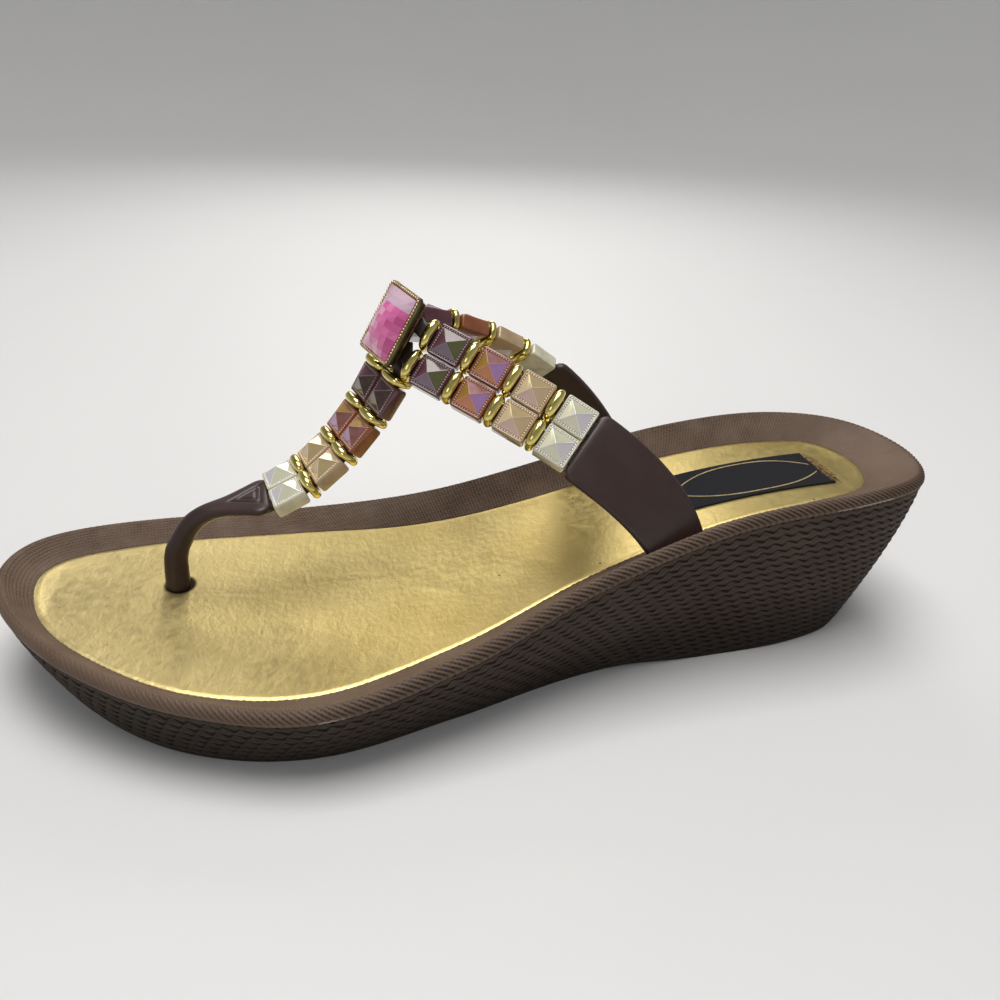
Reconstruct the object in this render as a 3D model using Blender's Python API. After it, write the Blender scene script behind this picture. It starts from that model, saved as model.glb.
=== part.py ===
"""Toe post wedge sandal, left shoe: moulded wedge sole, gold insole, rubber thong upper with beads.

The last's own axes are used while modelling: +Y from the heel to the toe, +X to the medial
side, +Z up, heel back at y = 0 and the floor at z = 0. At the end everything is moved so that
the origin lies on the floor under the middle of the sandal.
"""

import math

import bmesh
import bpy
import numpy as np
from mathutils import Matrix, Vector

MM = 0.001

# Sole
LENGTH = 262 * MM
BALL_WIDTH = 94 * MM
HEEL_HEIGHT = 45.5 * MM      # gold footbed above the floor at the heel
FOREFOOT_HEIGHT = 18.8 * MM  # gold footbed above the floor at the ball
TOE_RISE = 4.2 * MM          # how much the footbed climbs again towards the toe
TOE_SPRING = 8.0 * MM        # height of the tread's tip above the floor
ARCH_RISE = 1.2 * MM         # height of the waist above the floor
RIM_RISE = 6.0 * MM          # height of the heel's rim over the footbed
ROLL_HEIGHT = 3.4 * MM       # height of the rolled top edge
ROLL_STEP = 0.7 * MM         # how far the rolled edge stands out over the knit wall
ROLL_DEPTH = 2.38 * MM       # how far the rolled edge reaches inwards before the rim goes on level
WALL_BULGE = 1.5             # 1 is a straight side wall, more is rounder
RIM_HOLLOW = 1.3             # 1 is a straight slope from the rim to the insole, more is hollower
DISH_DEPTH = 1.0 * MM        # how far the middle of the footbed lies under its edges
DISH_ROOM = 28.2 * MM        # width of the footbed from which the dish has its full depth
ARCH_SPAN = (0.27, 0.46)     # shares of the length between which the waist is off the floor
SPRING_SPAN = (0.74, 0.94)   # where the tread leaves the floor, and where it reaches the toe spring

# Insole and label
INSOLE_THICKNESS = 0.8 * MM
GAP = 0.3 * MM               # between pieces that touch on the real sandal
LABEL_LENGTH = 46 * MM
LABEL_WIDTH = 20 * MM
LABEL_THICKNESS = 0.6 * MM
LABEL_TURN = math.radians(9)

# Thong
STRAP_RISE = 66 * MM         # height of the jewel over the footbed
PLATE_WIDTH = 20.2 * MM      # of a side plate, beside the beads
PLATE_THICKNESS = 2.6 * MM
PLATE_TAPER = 0.77           # width of a side plate at the sole over its width at the beads
PLATE_EDGE = 0.8 * MM        # chamfer along a side plate's edges
PLATE_END_ROUND = 1.6 * MM   # length of the rounded end beside the beads
PLATE_END_NARROW = 1.2 * MM  # how far each side draws in at that end
TOE_PLATE_WIDTH = 17.0 * MM
POST_DIAMETER = 6.6 * MM
SOCKET_DEPTH = 8.0 * MM      # depth of the post's hole under the footbed
CORE_WIDTH = 4.2 * MM
CORE_THICKNESS = 2.0 * MM
CORE_CHAMFER = 0.6 * MM
CORE_INSERT = 4.0 * MM       # length of a carrier cord inside a plate
SLOT_START = 0.72            # share of a side arm above which its slit's cutter stands clear

# Beads and rings
BEAD_LENGTH = 9.1 * MM
BEAD_WIDTH = 8.8 * MM
BEAD_BELOW = 2.2 * MM        # from the middle of the cord to the bead's back
BEAD_ABOVE = 2.0 * MM        # from the middle of the cord to the bead's border
BEAD_BORDER = 0.8 * MM
PYRAMID_STEP = 0.276 * MM    # the border slopes up this much to the foot of the pyramid
PYRAMID_HEIGHT = 2.3 * MM
CORD_CLEARANCE = 0.35 * MM
RING_WIRE = 2.3 * MM
RING_HEIGHT = 7.4 * MM
RING_JOIN = 0.3 * MM         # overlap of the two rings of a spacer
RING_SQUARENESS = 0.7        # 1 is an ellipse, less is squarer
RING_STEPS, RING_SIDES = 12, 6
BEAD_PLAY = 0.45 * MM        # from a bead's end to the ring beside it, on the bent arm
COLUMNS = ("purple", "orange", "beige", "white")
ROWS = ("a", "b")

# Jewel
BEZEL_LENGTH = 19.4 * MM
BEZEL_WIDTH = 14.2 * MM
BEZEL_HEIGHT = 3.2 * MM
BEZEL_WALL = 1.2 * MM
BEZEL_FLOOR = 1.2 * MM
BEZEL_LIP = 0.4 * MM         # inward slope of its top edge
BEZEL_FOOT = 0.9 * MM        # how far its foot lies inside its wall, and the waist above the foot
BEZEL_WAIST = 0.7 * MM
STONE_CROWN = 2.8 * MM
STONE_ROUND = 2.4            # more is a flatter crown with steeper edges
STONE_DRAFT = 0.97           # size of its underside over its outline
STONE_COLUMNS, STONE_ROWS = 6, 8
HUB_LENGTH = 15.0 * MM
HUB_WIDTH = 7.0 * MM
HUB_THICKNESS = 3.0 * MM
HUB_EDGE = 1.0 * MM          # chamfer of its edges
JEWEL_YAW = math.radians(27)   # turned to the lateral side
JEWEL_TILT = math.radians(29)  # how far its face looks up from level
JEWEL_ROLL = math.radians(8)

# Share of the length, share of the drop from heel to forefoot, share of the toe rise,
# share of the rim rise
FOOTBED = (
    (0.00, 0.945, 0.00, 0.95),
    (0.10, 1.000, 0.00, 1.00),
    (0.25, 0.918, 0.00, 0.90),
    (0.40, 0.625, 0.00, 0.75),
    (0.55, 0.217, 0.00, 0.60),
    (0.70, 0.000, 0.00, 0.50),
    (0.85, 0.000, 0.10, 0.50),
    (1.00, 0.000, 1.00, 0.55),
)

# Outlines seen from above: share of the length, medial and lateral share of the ball width
OUTER = (
    (0.000, 0.01, 0.01),
    (0.035, 0.22, -0.20),
    (0.130, 0.315, -0.295),
    (0.280, 0.335, -0.315),
    (0.430, 0.333, -0.385),
    (0.560, 0.385, -0.485),
    (0.690, 0.450, -0.545),
    (0.810, 0.457, -0.450),
    (0.910, 0.415, -0.270),
    (0.975, 0.320, -0.065),
    (1.000, 0.145, 0.145),
)
GOLD = (
    (0.065, 0.03, 0.03),
    (0.090, 0.175, -0.13),
    (0.160, 0.212, -0.185),
    (0.280, 0.210, -0.217),
    (0.430, 0.183, -0.285),
    (0.570, 0.245, -0.385),
    (0.690, 0.330, -0.442),
    (0.800, 0.350, -0.380),
    (0.900, 0.305, -0.200),
    (0.945, 0.250, -0.060),
    (0.965, 0.130, 0.130),
)
TREAD = (
    (0.070, -0.01, -0.01),
    (0.095, 0.170, -0.180),
    (0.170, 0.255, -0.252),
    (0.300, 0.275, -0.272),
    (0.430, 0.268, -0.290),
    (0.560, 0.310, -0.385),
    (0.690, 0.365, -0.460),
    (0.800, 0.370, -0.405),
    (0.895, 0.325, -0.250),
    (0.938, 0.255, -0.090),
    (0.956, 0.110, 0.110),
)
STATIONS = 40                # steps from heel to toe
CAP_COLUMNS = 6              # steps across the footbed and the tread
PLATE_STEPS = 12             # steps along a side plate
HOLE_SIDES = 24              # flats of the post's hole
# Shares of the way up the wall, round the rolled edge and in over the rim
WALL_SHARES = (0.0, 0.07, 0.25, 0.5, 0.75, 1.0)
ROLL_TURNS = (0.0, 0.33, 0.66, 1.0)
RIM_SHARES = (0.35, 0.7, 1.0)

# Middle lines of the three arms, as control points of one curve each:
# share of the ball width, share of the length, share of the strap's rise over the footbed
LATERAL_ARM = (
    (0.145, 0.580, 0.935),
    (-0.074, 0.472, 0.642),
    (-0.321, 0.364, 0.427),
    (-0.267, 0.318, -0.108),
)
MEDIAL_ARM = (
    (0.250, 0.590, 0.985),
    (0.350, 0.500, 0.810),
    (0.405, 0.397, 0.485),
    (0.256, 0.326, -0.100),
)
CENTRE_ARM = (
    (0.185, 0.591, 0.852),
    (0.182, 0.617, 0.642),
    (0.130, 0.670, 0.422),
    (0.112, 0.731, 0.382),
)
# From the toe plate's rear edge to the foot of the post: share of the way, share of the
# drop left to the footbed, width as a share of the plate's, thickness as a share of the post's
TOE_PIECE = (
    (0.000, 1.00, 0.88, 0.42),
    (0.055, 1.00, 1.00, 0.44),
    (0.250, 0.96, 0.79, 0.48),
    (0.470, 0.91, 0.45, 0.60),
    (0.660, 0.84, 0.32, 0.76),
    (0.810, 0.71, 0.31, 0.84),
    (0.920, 0.50, 0.33, 0.90),
    (0.985, 0.26, 0.365, 0.96),
    (1.000, 0.00, 0.385, 1.00),
)
# Places as a share of the ball width and a share of the length, and for the jewel a share
# of the strap's rise as well
POST_PLACE = (0.112, 0.8275)
LABEL_MIDDLE = (-0.008, 0.203)
JEWEL_MIDDLE = (0.147, 0.5965, 1.03)
# Direction across each arm at the jewel and at its other end, in the last's axes
ACROSS = {
    "lateral": ((-0.44, 0.43, -0.78), (-0.28, 0.93, -0.22)),
    "medial": ((-0.62, -0.62, 0.40), (-0.24, -0.94, 0.14)),
    "centre": ((0.91, 0.39, 0.11), (0.99, 0.03, 0.10)),
}
# Share of the bezel's height below its top edge, and the inset there
BEZEL_STEPS = (
    (1.00, BEZEL_FOOT),
    (0.55, BEZEL_WAIST),
    (0.35, 0.0),
    (0.12, 0.0),
    (0.00, BEZEL_LIP),
    (0.05, BEZEL_WALL),
)
# Distance along an arm from its curve's start to the first ring
FIRST_RING = {"lateral": 4.6 * MM, "medial": 3.2 * MM, "centre": 3.3 * MM}
# Where the two cords of an arm leave the hub: shares of its half width, half length and
# half thickness, counted positive to the medial side, to the toe and outwards
HUB_EXITS = {
    "lateral": ((-0.70, -0.42, -0.60), (-0.70, 0.42, -0.60)),
    "medial": ((0.70, 0.42, 0.0), (0.70, -0.42, 0.0)),
    "centre": ((-0.50, 0.80, 0.0), (0.50, 0.80, 0.0)),
}

COLOURS = {
    "foam": (0.060, 0.041, 0.034),
    "rubber": (0.046, 0.030, 0.028),
    "gold_leather": (0.62, 0.46, 0.17),
    "label": (0.012, 0.012, 0.015),
    "purple": (0.085, 0.030, 0.036),
    "orange": (0.33, 0.10, 0.035),
    "beige": (0.53, 0.38, 0.22),
    "white": (0.78, 0.76, 0.60),
    "gold": (0.75, 0.58, 0.16),
    "antique_gold": (0.33, 0.25, 0.10),
    "pink": (0.75, 0.12, 0.36),
}


def smooth(knots, values, at):
    """A cubic through the values, with the slopes of the parabola through each three neighbours."""
    knots = np.asarray(knots, float)
    values = np.asarray(values, float)
    step = np.diff(knots)
    rise = np.diff(values) / step
    slope = np.empty_like(values)
    slope[1:-1] = (rise[:-1] * step[1:] + rise[1:] * step[:-1]) / (step[:-1] + step[1:])
    slope[0] = 2 * rise[0] - slope[1]
    slope[-1] = 2 * rise[-1] - slope[-2]
    at = np.clip(np.asarray(at, float), knots[0], knots[-1])
    i = np.clip(np.searchsorted(knots, at) - 1, 0, len(step) - 1)
    t = (at - knots[i]) / step[i]
    start = (1 + 2 * t) * (1 - t) ** 2 * values[i] + t * (1 - t) ** 2 * step[i] * slope[i]
    end = t * t * (3 - 2 * t) * values[i + 1] - t * t * (1 - t) * step[i] * slope[i + 1]
    return start + end


def footbed_column(column, y):
    table = np.array(FOOTBED)
    return smooth(table[:, 0], table[:, column], np.asarray(y) / LENGTH)


def bed_height(y):
    """Height of the gold footbed's edge above the floor."""
    drop = (HEEL_HEIGHT - FOREFOOT_HEIGHT) * footbed_column(1, y)
    return FOREFOOT_HEIGHT + drop + TOE_RISE * footbed_column(2, y)


def rim_height(y):
    return bed_height(y) + RIM_RISE * footbed_column(3, y)


def tread_height(y):
    """Height of the underside: flat under heel and forefoot, raised at the waist and the toe."""
    share = np.asarray(y) / LENGTH
    arch = np.clip((share - ARCH_SPAN[0]) / (ARCH_SPAN[1] - ARCH_SPAN[0]), 0, 1)
    toe = np.clip((share - SPRING_SPAN[0]) / (SPRING_SPAN[1] - SPRING_SPAN[0]), 0, None)
    return ARCH_RISE * np.sin(math.pi * arch) ** 2 + TOE_SPRING * toe ** 2


def outline(table, inset=0.0):
    """Closed outline of 2 x STATIONS points: heel, medial side, toe, lateral side."""
    rows = np.array(table)
    first, last = rows[0, 0], rows[-1, 0]
    turn = np.arccos(np.clip(1 - 2 * (rows[:, 0] - first) / (last - first), -1, 1))
    knots = np.concatenate([turn, 2 * math.pi - turn[-2:0:-1]])
    shares = np.concatenate([rows[:, 1], rows[-2:0:-1, 2]])
    knots = np.concatenate([knots - 2 * math.pi, knots, knots + 2 * math.pi])
    at = np.arange(2 * STATIONS) * math.pi / STATIONS
    x = smooth(knots, np.tile(shares, 3), at) * BALL_WIDTH
    y = (first + (last - first) * (1 - np.cos(at)) / 2) * LENGTH
    ring = np.stack([x, y], axis=1)
    if inset:
        along = np.roll(ring, -1, axis=0) - np.roll(ring, 1, axis=0)
        along /= np.linalg.norm(along, axis=1)[:, None]
        ring = ring + inset * np.stack([-along[:, 1], along[:, 0]], axis=1)
    return ring


def raised(ring, height):
    return np.column_stack([ring, np.broadcast_to(height, len(ring))])


def footbed_height(x, y):
    """Height of the gold surface at any point, lower in the middle than at its edges."""
    edge = outline(GOLD)
    medial = edge[: STATIONS + 1]
    lateral = np.vstack([edge[:1], edge[:STATIONS - 1:-1]])
    right = np.interp(y, medial[:, 1], medial[:, 0])
    left = np.interp(y, lateral[:, 1], lateral[:, 0])
    half = np.maximum((right - left) / 2, MM)
    across = np.clip(np.abs(x - (right + left) / 2) / half, 0, 1)
    # The dish fades out at heel and toe, where the outline closes.
    room = np.clip(2 * half / DISH_ROOM, 0, 1)
    return bed_height(y) - DISH_DEPTH * room * (1 - across ** 2)


def material(name, rough, metal=0.0):
    made = bpy.data.materials.get(name)
    if made is None:
        made = bpy.data.materials.new(name)
        made.use_nodes = True
        shader = made.node_tree.nodes["Principled BSDF"]
        shader.inputs["Base Color"].default_value = (*COLOURS[name], 1)
        shader.inputs["Roughness"].default_value = rough
        shader.inputs["Metallic"].default_value = metal
        made.diffuse_color = (*COLOURS[name], 1)
    return made


def add_object(name, mesh, finish, smooth_angle=None):
    item = bpy.data.objects.new(name, mesh)
    bpy.context.scene.collection.objects.link(item)
    if finish is not None:
        mesh.materials.clear()
        mesh.materials.append(finish)
    if smooth_angle is not None:
        mesh.shade_smooth()
        mesh.set_sharp_from_angle(angle=math.radians(smooth_angle))
    return item


def mesh_of(name, points, faces):
    mesh = bpy.data.meshes.new(name)
    mesh.from_pydata([tuple(map(float, point)) for point in points], [], faces)
    mesh.validate()
    return mesh


def cap(points, ring_start, height, columns, upward):
    """Fills a ring from side to side with strips whose height follows a function."""
    ring = np.array(points[ring_start:ring_start + 2 * STATIONS])
    rows = []
    for j in range(STATIONS + 1):
        if j in (0, STATIONS):
            rows.append([ring_start + j] * (columns + 1))
            continue
        right, left = ring[j], ring[2 * STATIONS - j]
        row = [ring_start + j]
        for k in range(1, columns):
            x, y = right[:2] + (left[:2] - right[:2]) * k / columns
            row.append(len(points))
            points.append((x, y, float(height(x, y))))
        rows.append(row + [ring_start + 2 * STATIONS - j])
    faces = []
    for low, high in zip(rows, rows[1:]):
        for k in range(columns):
            face = list(dict.fromkeys((low[k], high[k], high[k + 1], low[k + 1])))
            faces.append(face if upward else face[::-1])
    return faces


def ring_solid(name, rings, bottom_height, top_height, columns=CAP_COLUMNS):
    """A closed solid from rings stacked from the bottom up, with a cap on each end."""
    count = 2 * STATIONS
    points = [tuple(point) for ring in rings for point in ring]
    faces = []
    for r in range(len(rings) - 1):
        for i in range(count):
            nxt = (i + 1) % count
            faces.append((r * count + i, r * count + nxt, (r + 1) * count + nxt, (r + 1) * count + i))
    faces += cap(points, 0, bottom_height, columns, upward=False)
    faces += cap(points, (len(rings) - 1) * count, top_height, columns, upward=True)
    return mesh_of(name, points, faces)


def slab(name, ring, low, high):
    """A sheet between two heights that are functions of x and y."""
    low_ring = raised(ring, [low(x, y) for x, y in ring])
    high_ring = raised(ring, [high(x, y) for x, y in ring])
    return ring_solid(name, [low_ring, high_ring], low, high)


def boolean(item, other, operation, solver="EXACT"):
    cut = item.modifiers.new(other.name, "BOOLEAN")
    cut.object = other
    cut.operation = operation
    cut.solver = solver
    other.hide_render = True
    other.display_type = "WIRE"


def bake(item):
    """Replaces the object's mesh by what its modifiers make, and removes what they used."""
    used = [modifier.object for modifier in item.modifiers]
    bpy.context.view_layer.update()
    graph = bpy.context.evaluated_depsgraph_get()
    finished = bpy.data.meshes.new_from_object(item.evaluated_get(graph))
    item.modifiers.clear()
    item.data = finished
    for other in used:
        bpy.data.objects.remove(other)


def cylinder(name, centre, radius, low, high):
    """An upright cylinder, as a cutter."""
    shape = bmesh.new()
    bmesh.ops.create_cone(
        shape, cap_ends=True, segments=HOLE_SIDES, radius1=radius, radius2=radius, depth=high - low
    )
    bmesh.ops.translate(shape, verts=shape.verts, vec=(centre[0], centre[1], (low + high) / 2))
    mesh = bpy.data.meshes.new(name)
    shape.to_mesh(mesh)
    shape.free()
    return add_object(name, mesh, None)


def strap_point(x_share, y_share, rise_share):
    y = y_share * LENGTH
    return np.array([x_share * BALL_WIDTH, y, float(bed_height(y)) + rise_share * STRAP_RISE])


def unit(vector):
    return np.asarray(vector, float) / np.linalg.norm(vector)


class Arm:
    """The middle line of one arm of the thong, with its direction and the way across it."""

    def __init__(self, side, table):
        self.side = side
        control = np.array([strap_point(*row[:3]) for row in table])
        t = np.linspace(0, 1, 201)[:, None]
        self.points = (
            (1 - t) ** 3 * control[0]
            + 3 * (1 - t) ** 2 * t * control[1]
            + 3 * (1 - t) * t * t * control[2]
            + t ** 3 * control[3]
        )
        steps = np.linalg.norm(np.diff(self.points, axis=0), axis=1)
        self.lengths = np.concatenate([[0], np.cumsum(steps)])
        self.length = self.lengths[-1]

    def frame(self, distance):
        """Point, direction along, direction across and direction out at a distance along the arm."""
        point = np.array([np.interp(distance, self.lengths, self.points[:, i]) for i in range(3)])
        if distance > self.length:
            point = point + (distance - self.length) * unit(self.points[-1] - self.points[-2])
        i = int(np.clip(np.searchsorted(self.lengths, distance), 3, len(self.lengths) - 3))
        along = unit(self.points[i + 2] - self.points[i - 2])
        first, last = (np.array(end) for end in ACROSS[self.side])
        share = min(max(distance / self.length, 0), 1)
        across = first * (1 - share) + last * share
        across = unit(across - along * (across @ along))
        return point, along, across, np.cross(across, along)


RING_PITCH = BEAD_LENGTH + RING_WIRE + 2 * BEAD_PLAY
RING_WIDTH = BEAD_WIDTH + GAP + RING_JOIN
ROW_OFFSET = (BEAD_WIDTH + GAP) / 2


def ring_place(arm, number):
    return FIRST_RING[arm.side] + number * RING_PITCH


def bead_place(arm, number):
    return ring_place(arm, number) + RING_PITCH / 2


def plate_start(arm):
    """Where the plate begins, just past the last bead."""
    return bead_place(arm, len(COLUMNS) - 1) + BEAD_LENGTH / 2 + BEAD_PLAY


def chamfered(width, thickness, chamfer):
    """Eight corners of a flat section, counter-clockwise seen against the run of the sweep."""
    w, t, c = width / 2, thickness / 2, chamfer
    upper = [(w, t - c), (w - c, t), (c - w, t), (-w, t - c)]
    return upper + [(-x, -y) for x, y in upper]


def oval(width, thickness, sides=16):
    """A section between a flat bar and a round rod, by how unlike its width and thickness are."""
    flat = min(max(1 - thickness / width, 0), 1)
    power = 1 - 0.5 * flat
    corners = []
    for i in range(sides):
        a = 2 * math.pi * (i + 0.5) / sides
        c, s = math.cos(a), math.sin(a)
        corners.append((
            math.copysign(abs(c) ** power, c) * width / 2,
            math.copysign(abs(s) ** power, s) * thickness / 2,
        ))
    return corners


def sweep(name, stations):
    """A solid through sections: each station has a point, its two section axes and its corners."""
    points = []
    for point, across, out, section in stations:
        points += [point + a * across + b * out for a, b in section]
    count = len(stations[0][3])
    faces = [tuple(range(count))]
    for r in range(len(stations) - 1):
        for i in range(count):
            nxt = (i + 1) % count
            faces.append((r * count + i, (r + 1) * count + i, (r + 1) * count + nxt, r * count + nxt))
    faces.append(tuple(range(len(points) - 1, len(points) - count - 1, -1)))
    mesh = mesh_of(name, points, faces)
    shape = bmesh.new()
    shape.from_mesh(mesh)
    bmesh.ops.recalc_face_normals(shape, faces=shape.faces)
    shape.to_mesh(mesh)
    shape.free()
    return mesh


def jewel_axes():
    """Medial, toe-ward and outward axes of the jewel."""
    out = np.array([
        -math.sin(JEWEL_YAW) * math.cos(JEWEL_TILT),
        math.cos(JEWEL_YAW) * math.cos(JEWEL_TILT),
        math.sin(JEWEL_TILT),
    ])
    level = np.array([math.cos(JEWEL_YAW), math.sin(JEWEL_YAW), 0.0])
    down = np.cross(out, level)
    medial = level * math.cos(JEWEL_ROLL) - down * math.sin(JEWEL_ROLL)
    return medial, np.cross(out, medial), out


def jewel_point(medial, down, out):
    """A point given from the middle of the bezel's front edge."""
    axes = jewel_axes()
    return strap_point(*JEWEL_MIDDLE) + medial * axes[0] + down * axes[1] + out * axes[2]


def in_jewel_frame(mesh, out=0.0):
    for vertex in mesh.vertices:
        x, y, z = vertex.co
        vertex.co = Vector(jewel_point(x, y, out + z))
    return mesh


def hub_level():
    return -(BEZEL_HEIGHT + GAP + HUB_THICKNESS / 2)


def plate_stations(arm, clearance=0.0, begin=None, extra=0.0):
    """Sections of a side plate from its rounded rear end down into the sole."""
    start = plate_start(arm) if begin is None else begin
    end = arm.length + extra
    stations = []
    for k in range(PLATE_STEPS + 1):
        distance = start + (end - start) * k / PLATE_STEPS
        if begin is None and k == 1:
            distance = start + PLATE_END_ROUND
        point, _, across, out = arm.frame(distance)
        run = (distance - plate_start(arm)) / (arm.length - plate_start(arm))
        width = PLATE_WIDTH * (1 - (1 - PLATE_TAPER) * min(max(run, 0), 1) ** 2)
        if begin is None and k == 0:
            width -= 2 * PLATE_END_NARROW
        section = chamfered(width + 2 * clearance, PLATE_THICKNESS + 2 * clearance, PLATE_EDGE)
        stations.append((point, across, out, section))
    return stations


def cord_stations(arm, row):
    """A carrier cord: straight through each bead, bent only between the beads."""
    side = 1 if row else -1
    medial, down, out = HUB_EXITS[arm.side][row]
    exit_point = jewel_point(
        medial * HUB_WIDTH / 2, down * HUB_LENGTH / 2, hub_level() + out * HUB_THICKNESS / 2
    )
    section = chamfered(CORE_WIDTH, CORE_THICKNESS, CORE_CHAMFER)
    distances = [ring_place(arm, 0) - RING_WIRE / 2]
    for n in range(len(COLUMNS)):
        distances += [bead_place(arm, n) - BEAD_LENGTH / 2, bead_place(arm, n) + BEAD_LENGTH / 2]
    distances.append(plate_start(arm) + CORE_INSERT)
    stations = []
    for distance in distances:
        point, _, across, out = arm.frame(distance)
        stations.append((point + side * ROW_OFFSET * across, across, out, section))
    first, across = stations[0][:2]
    along = unit(first - exit_point)
    across = unit(across - along * (across @ along))
    stations.insert(0, (exit_point, across, np.cross(across, along), section))
    return stations


def post_foot():
    """Where the middle of the post meets the footbed."""
    x, y = POST_PLACE[0] * BALL_WIDTH, POST_PLACE[1] * LENGTH
    return np.array([x, y, float(footbed_height(x, y))])


def toe_piece_stations(arm):
    """The toe plate, its neck and the post, down to the bottom of its hole."""
    start, foot = arm.frame(plate_start(arm))[0], post_foot()
    rows = np.array(TOE_PIECE)
    centres = foot + (start - foot) * np.column_stack([1 - rows[:, 0], 1 - rows[:, 0], rows[:, 1]])
    rows = np.vstack([rows, rows[-1]])
    centres = np.vstack([centres, foot - (0, 0, SOCKET_DEPTH - GAP)])
    widths = rows[:, 2] * TOE_PLATE_WIDTH
    thicknesses = rows[:, 3] * POST_DIAMETER
    stations = []
    for k, centre in enumerate(centres):
        before, after = centres[max(k - 1, 0)], centres[min(k + 1, len(centres) - 1)]
        along = unit(after - before)
        if k == 0:
            along = arm.frame(plate_start(arm))[1]
        if k >= len(centres) - 2:
            along = np.array([0.0, 0.0, -1.0])
        across = unit(np.array([1.0, 0, 0]) - along * along[0])
        stations.append((centre, across, np.cross(across, along), oval(widths[k], thicknesses[k])))
    return stations


def make_upper(arms, finish):
    """Post, plates, cords and hub, joined where they cross."""
    upper = add_object("upper", sweep("upper", toe_piece_stations(arms[-1])), finish)
    shape = bmesh.new()
    bmesh.ops.create_cube(shape, size=1)
    bmesh.ops.scale(shape, vec=(HUB_WIDTH, HUB_LENGTH, HUB_THICKNESS), verts=shape.verts)
    bmesh.ops.bevel(
        shape, geom=shape.edges, offset=HUB_EDGE, segments=1, affect="EDGES", profile=0.5
    )
    hub_mesh = bpy.data.meshes.new("hub")
    shape.to_mesh(hub_mesh)
    shape.free()
    pieces = [add_object("hub", in_jewel_frame(hub_mesh, hub_level()), None)]
    for arm in arms:
        for row in range(len(ROWS)):
            cord = sweep("cord", cord_stations(arm, row))
            pieces.append(add_object(f"cord_{arm.side}_{row}", cord, None))
        if arm.side != "centre":
            pieces.append(add_object(f"plate_{arm.side}", sweep("plate", plate_stations(arm)), None))
    for piece in pieces:
        boolean(upper, piece, "UNION", "MANIFOLD")
    bake(upper)
    upper.data.materials.clear()
    upper.data.materials.append(finish)
    upper.data.shade_smooth()
    upper.data.set_sharp_from_angle(angle=math.radians(40))
    return upper


def make_sole(arms, finish):
    outer = outline(OUTER)
    tread = outline(TREAD)
    parting = rim_height(outer[:, 1]) - ROLL_HEIGHT
    floor = tread_height(tread[:, 1])
    wall_top = outline(OUTER, ROLL_STEP)
    rings = []
    for share in WALL_SHARES:
        spread = 1 - (1 - share) ** WALL_BULGE
        flat = tread + (wall_top - tread) * spread
        rings.append(raised(flat, floor + (parting - floor) * share))
    rings.append(raised(outer, parting + 0.25 * ROLL_STEP))
    rim = rim_height(outer[:, 1])
    low = parting + ROLL_HEIGHT - ROLL_DEPTH
    for turn in ROLL_TURNS:
        angle = turn * math.pi / 2
        inset = outline(OUTER, (1 - math.cos(angle)) * ROLL_DEPTH)
        rings.append(raised(inset, low + (rim - low) * math.sin(angle)))
    top = rings[-1]
    recess = outline(GOLD, -GAP)
    edge = bed_height(recess[:, 1])
    for share in RIM_SHARES:
        flat = top[:, :2] + (recess - top[:, :2]) * share
        rings.append(raised(flat, top[:, 2] + (edge - top[:, 2]) * (1 - (1 - share) ** RIM_HOLLOW)))

    def recess_floor(x, y):
        return footbed_height(x, y) - INSOLE_THICKNESS - GAP

    rings.append(raised(recess, [recess_floor(x, y) for x, y in recess]))
    mesh = ring_solid("sole", rings, lambda x, y: tread_height(y), recess_floor)
    sole = add_object("sole", mesh, finish)
    post = post_foot()
    cutter = cylinder("socket", post, socket_radius(), post[2] - SOCKET_DEPTH, post[2] + SOCKET_DEPTH)
    boolean(sole, cutter, "DIFFERENCE")
    cut_slots(sole, arms)
    bake(sole)
    sole.data.materials.clear()
    sole.data.materials.append(finish)
    sole.data.shade_smooth()
    sole.data.set_sharp_from_angle(angle=math.radians(35))
    return sole


def cut_slots(item, arms):
    """Cuts the slits that the two side plates go down through."""
    for arm in arms:
        if arm.side != "centre":
            stations = plate_stations(arm, GAP, arm.length * SLOT_START, GAP)
            boolean(item, add_object(f"slot_{arm.side}", sweep("slot", stations), None), "DIFFERENCE")


def socket_radius():
    """Clears the post's flat-oval section on every side."""
    return max(POST_DIAMETER, TOE_PIECE[-1][2] * TOE_PLATE_WIDTH) / 2 + GAP


def make_insole(arms, finish):
    ring = outline(GOLD)
    mesh = slab(
        "insole", ring, lambda x, y: footbed_height(x, y) - INSOLE_THICKNESS, footbed_height
    )
    insole = add_object("insole", mesh, finish)
    post = post_foot()
    cutter = cylinder("post_hole", post, socket_radius(), post[2] - SOCKET_DEPTH, post[2] + SOCKET_DEPTH)
    boolean(insole, cutter, "DIFFERENCE")
    cut_slots(insole, arms)
    bake(insole)
    insole.data.materials.clear()
    insole.data.materials.append(finish)
    return insole


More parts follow.
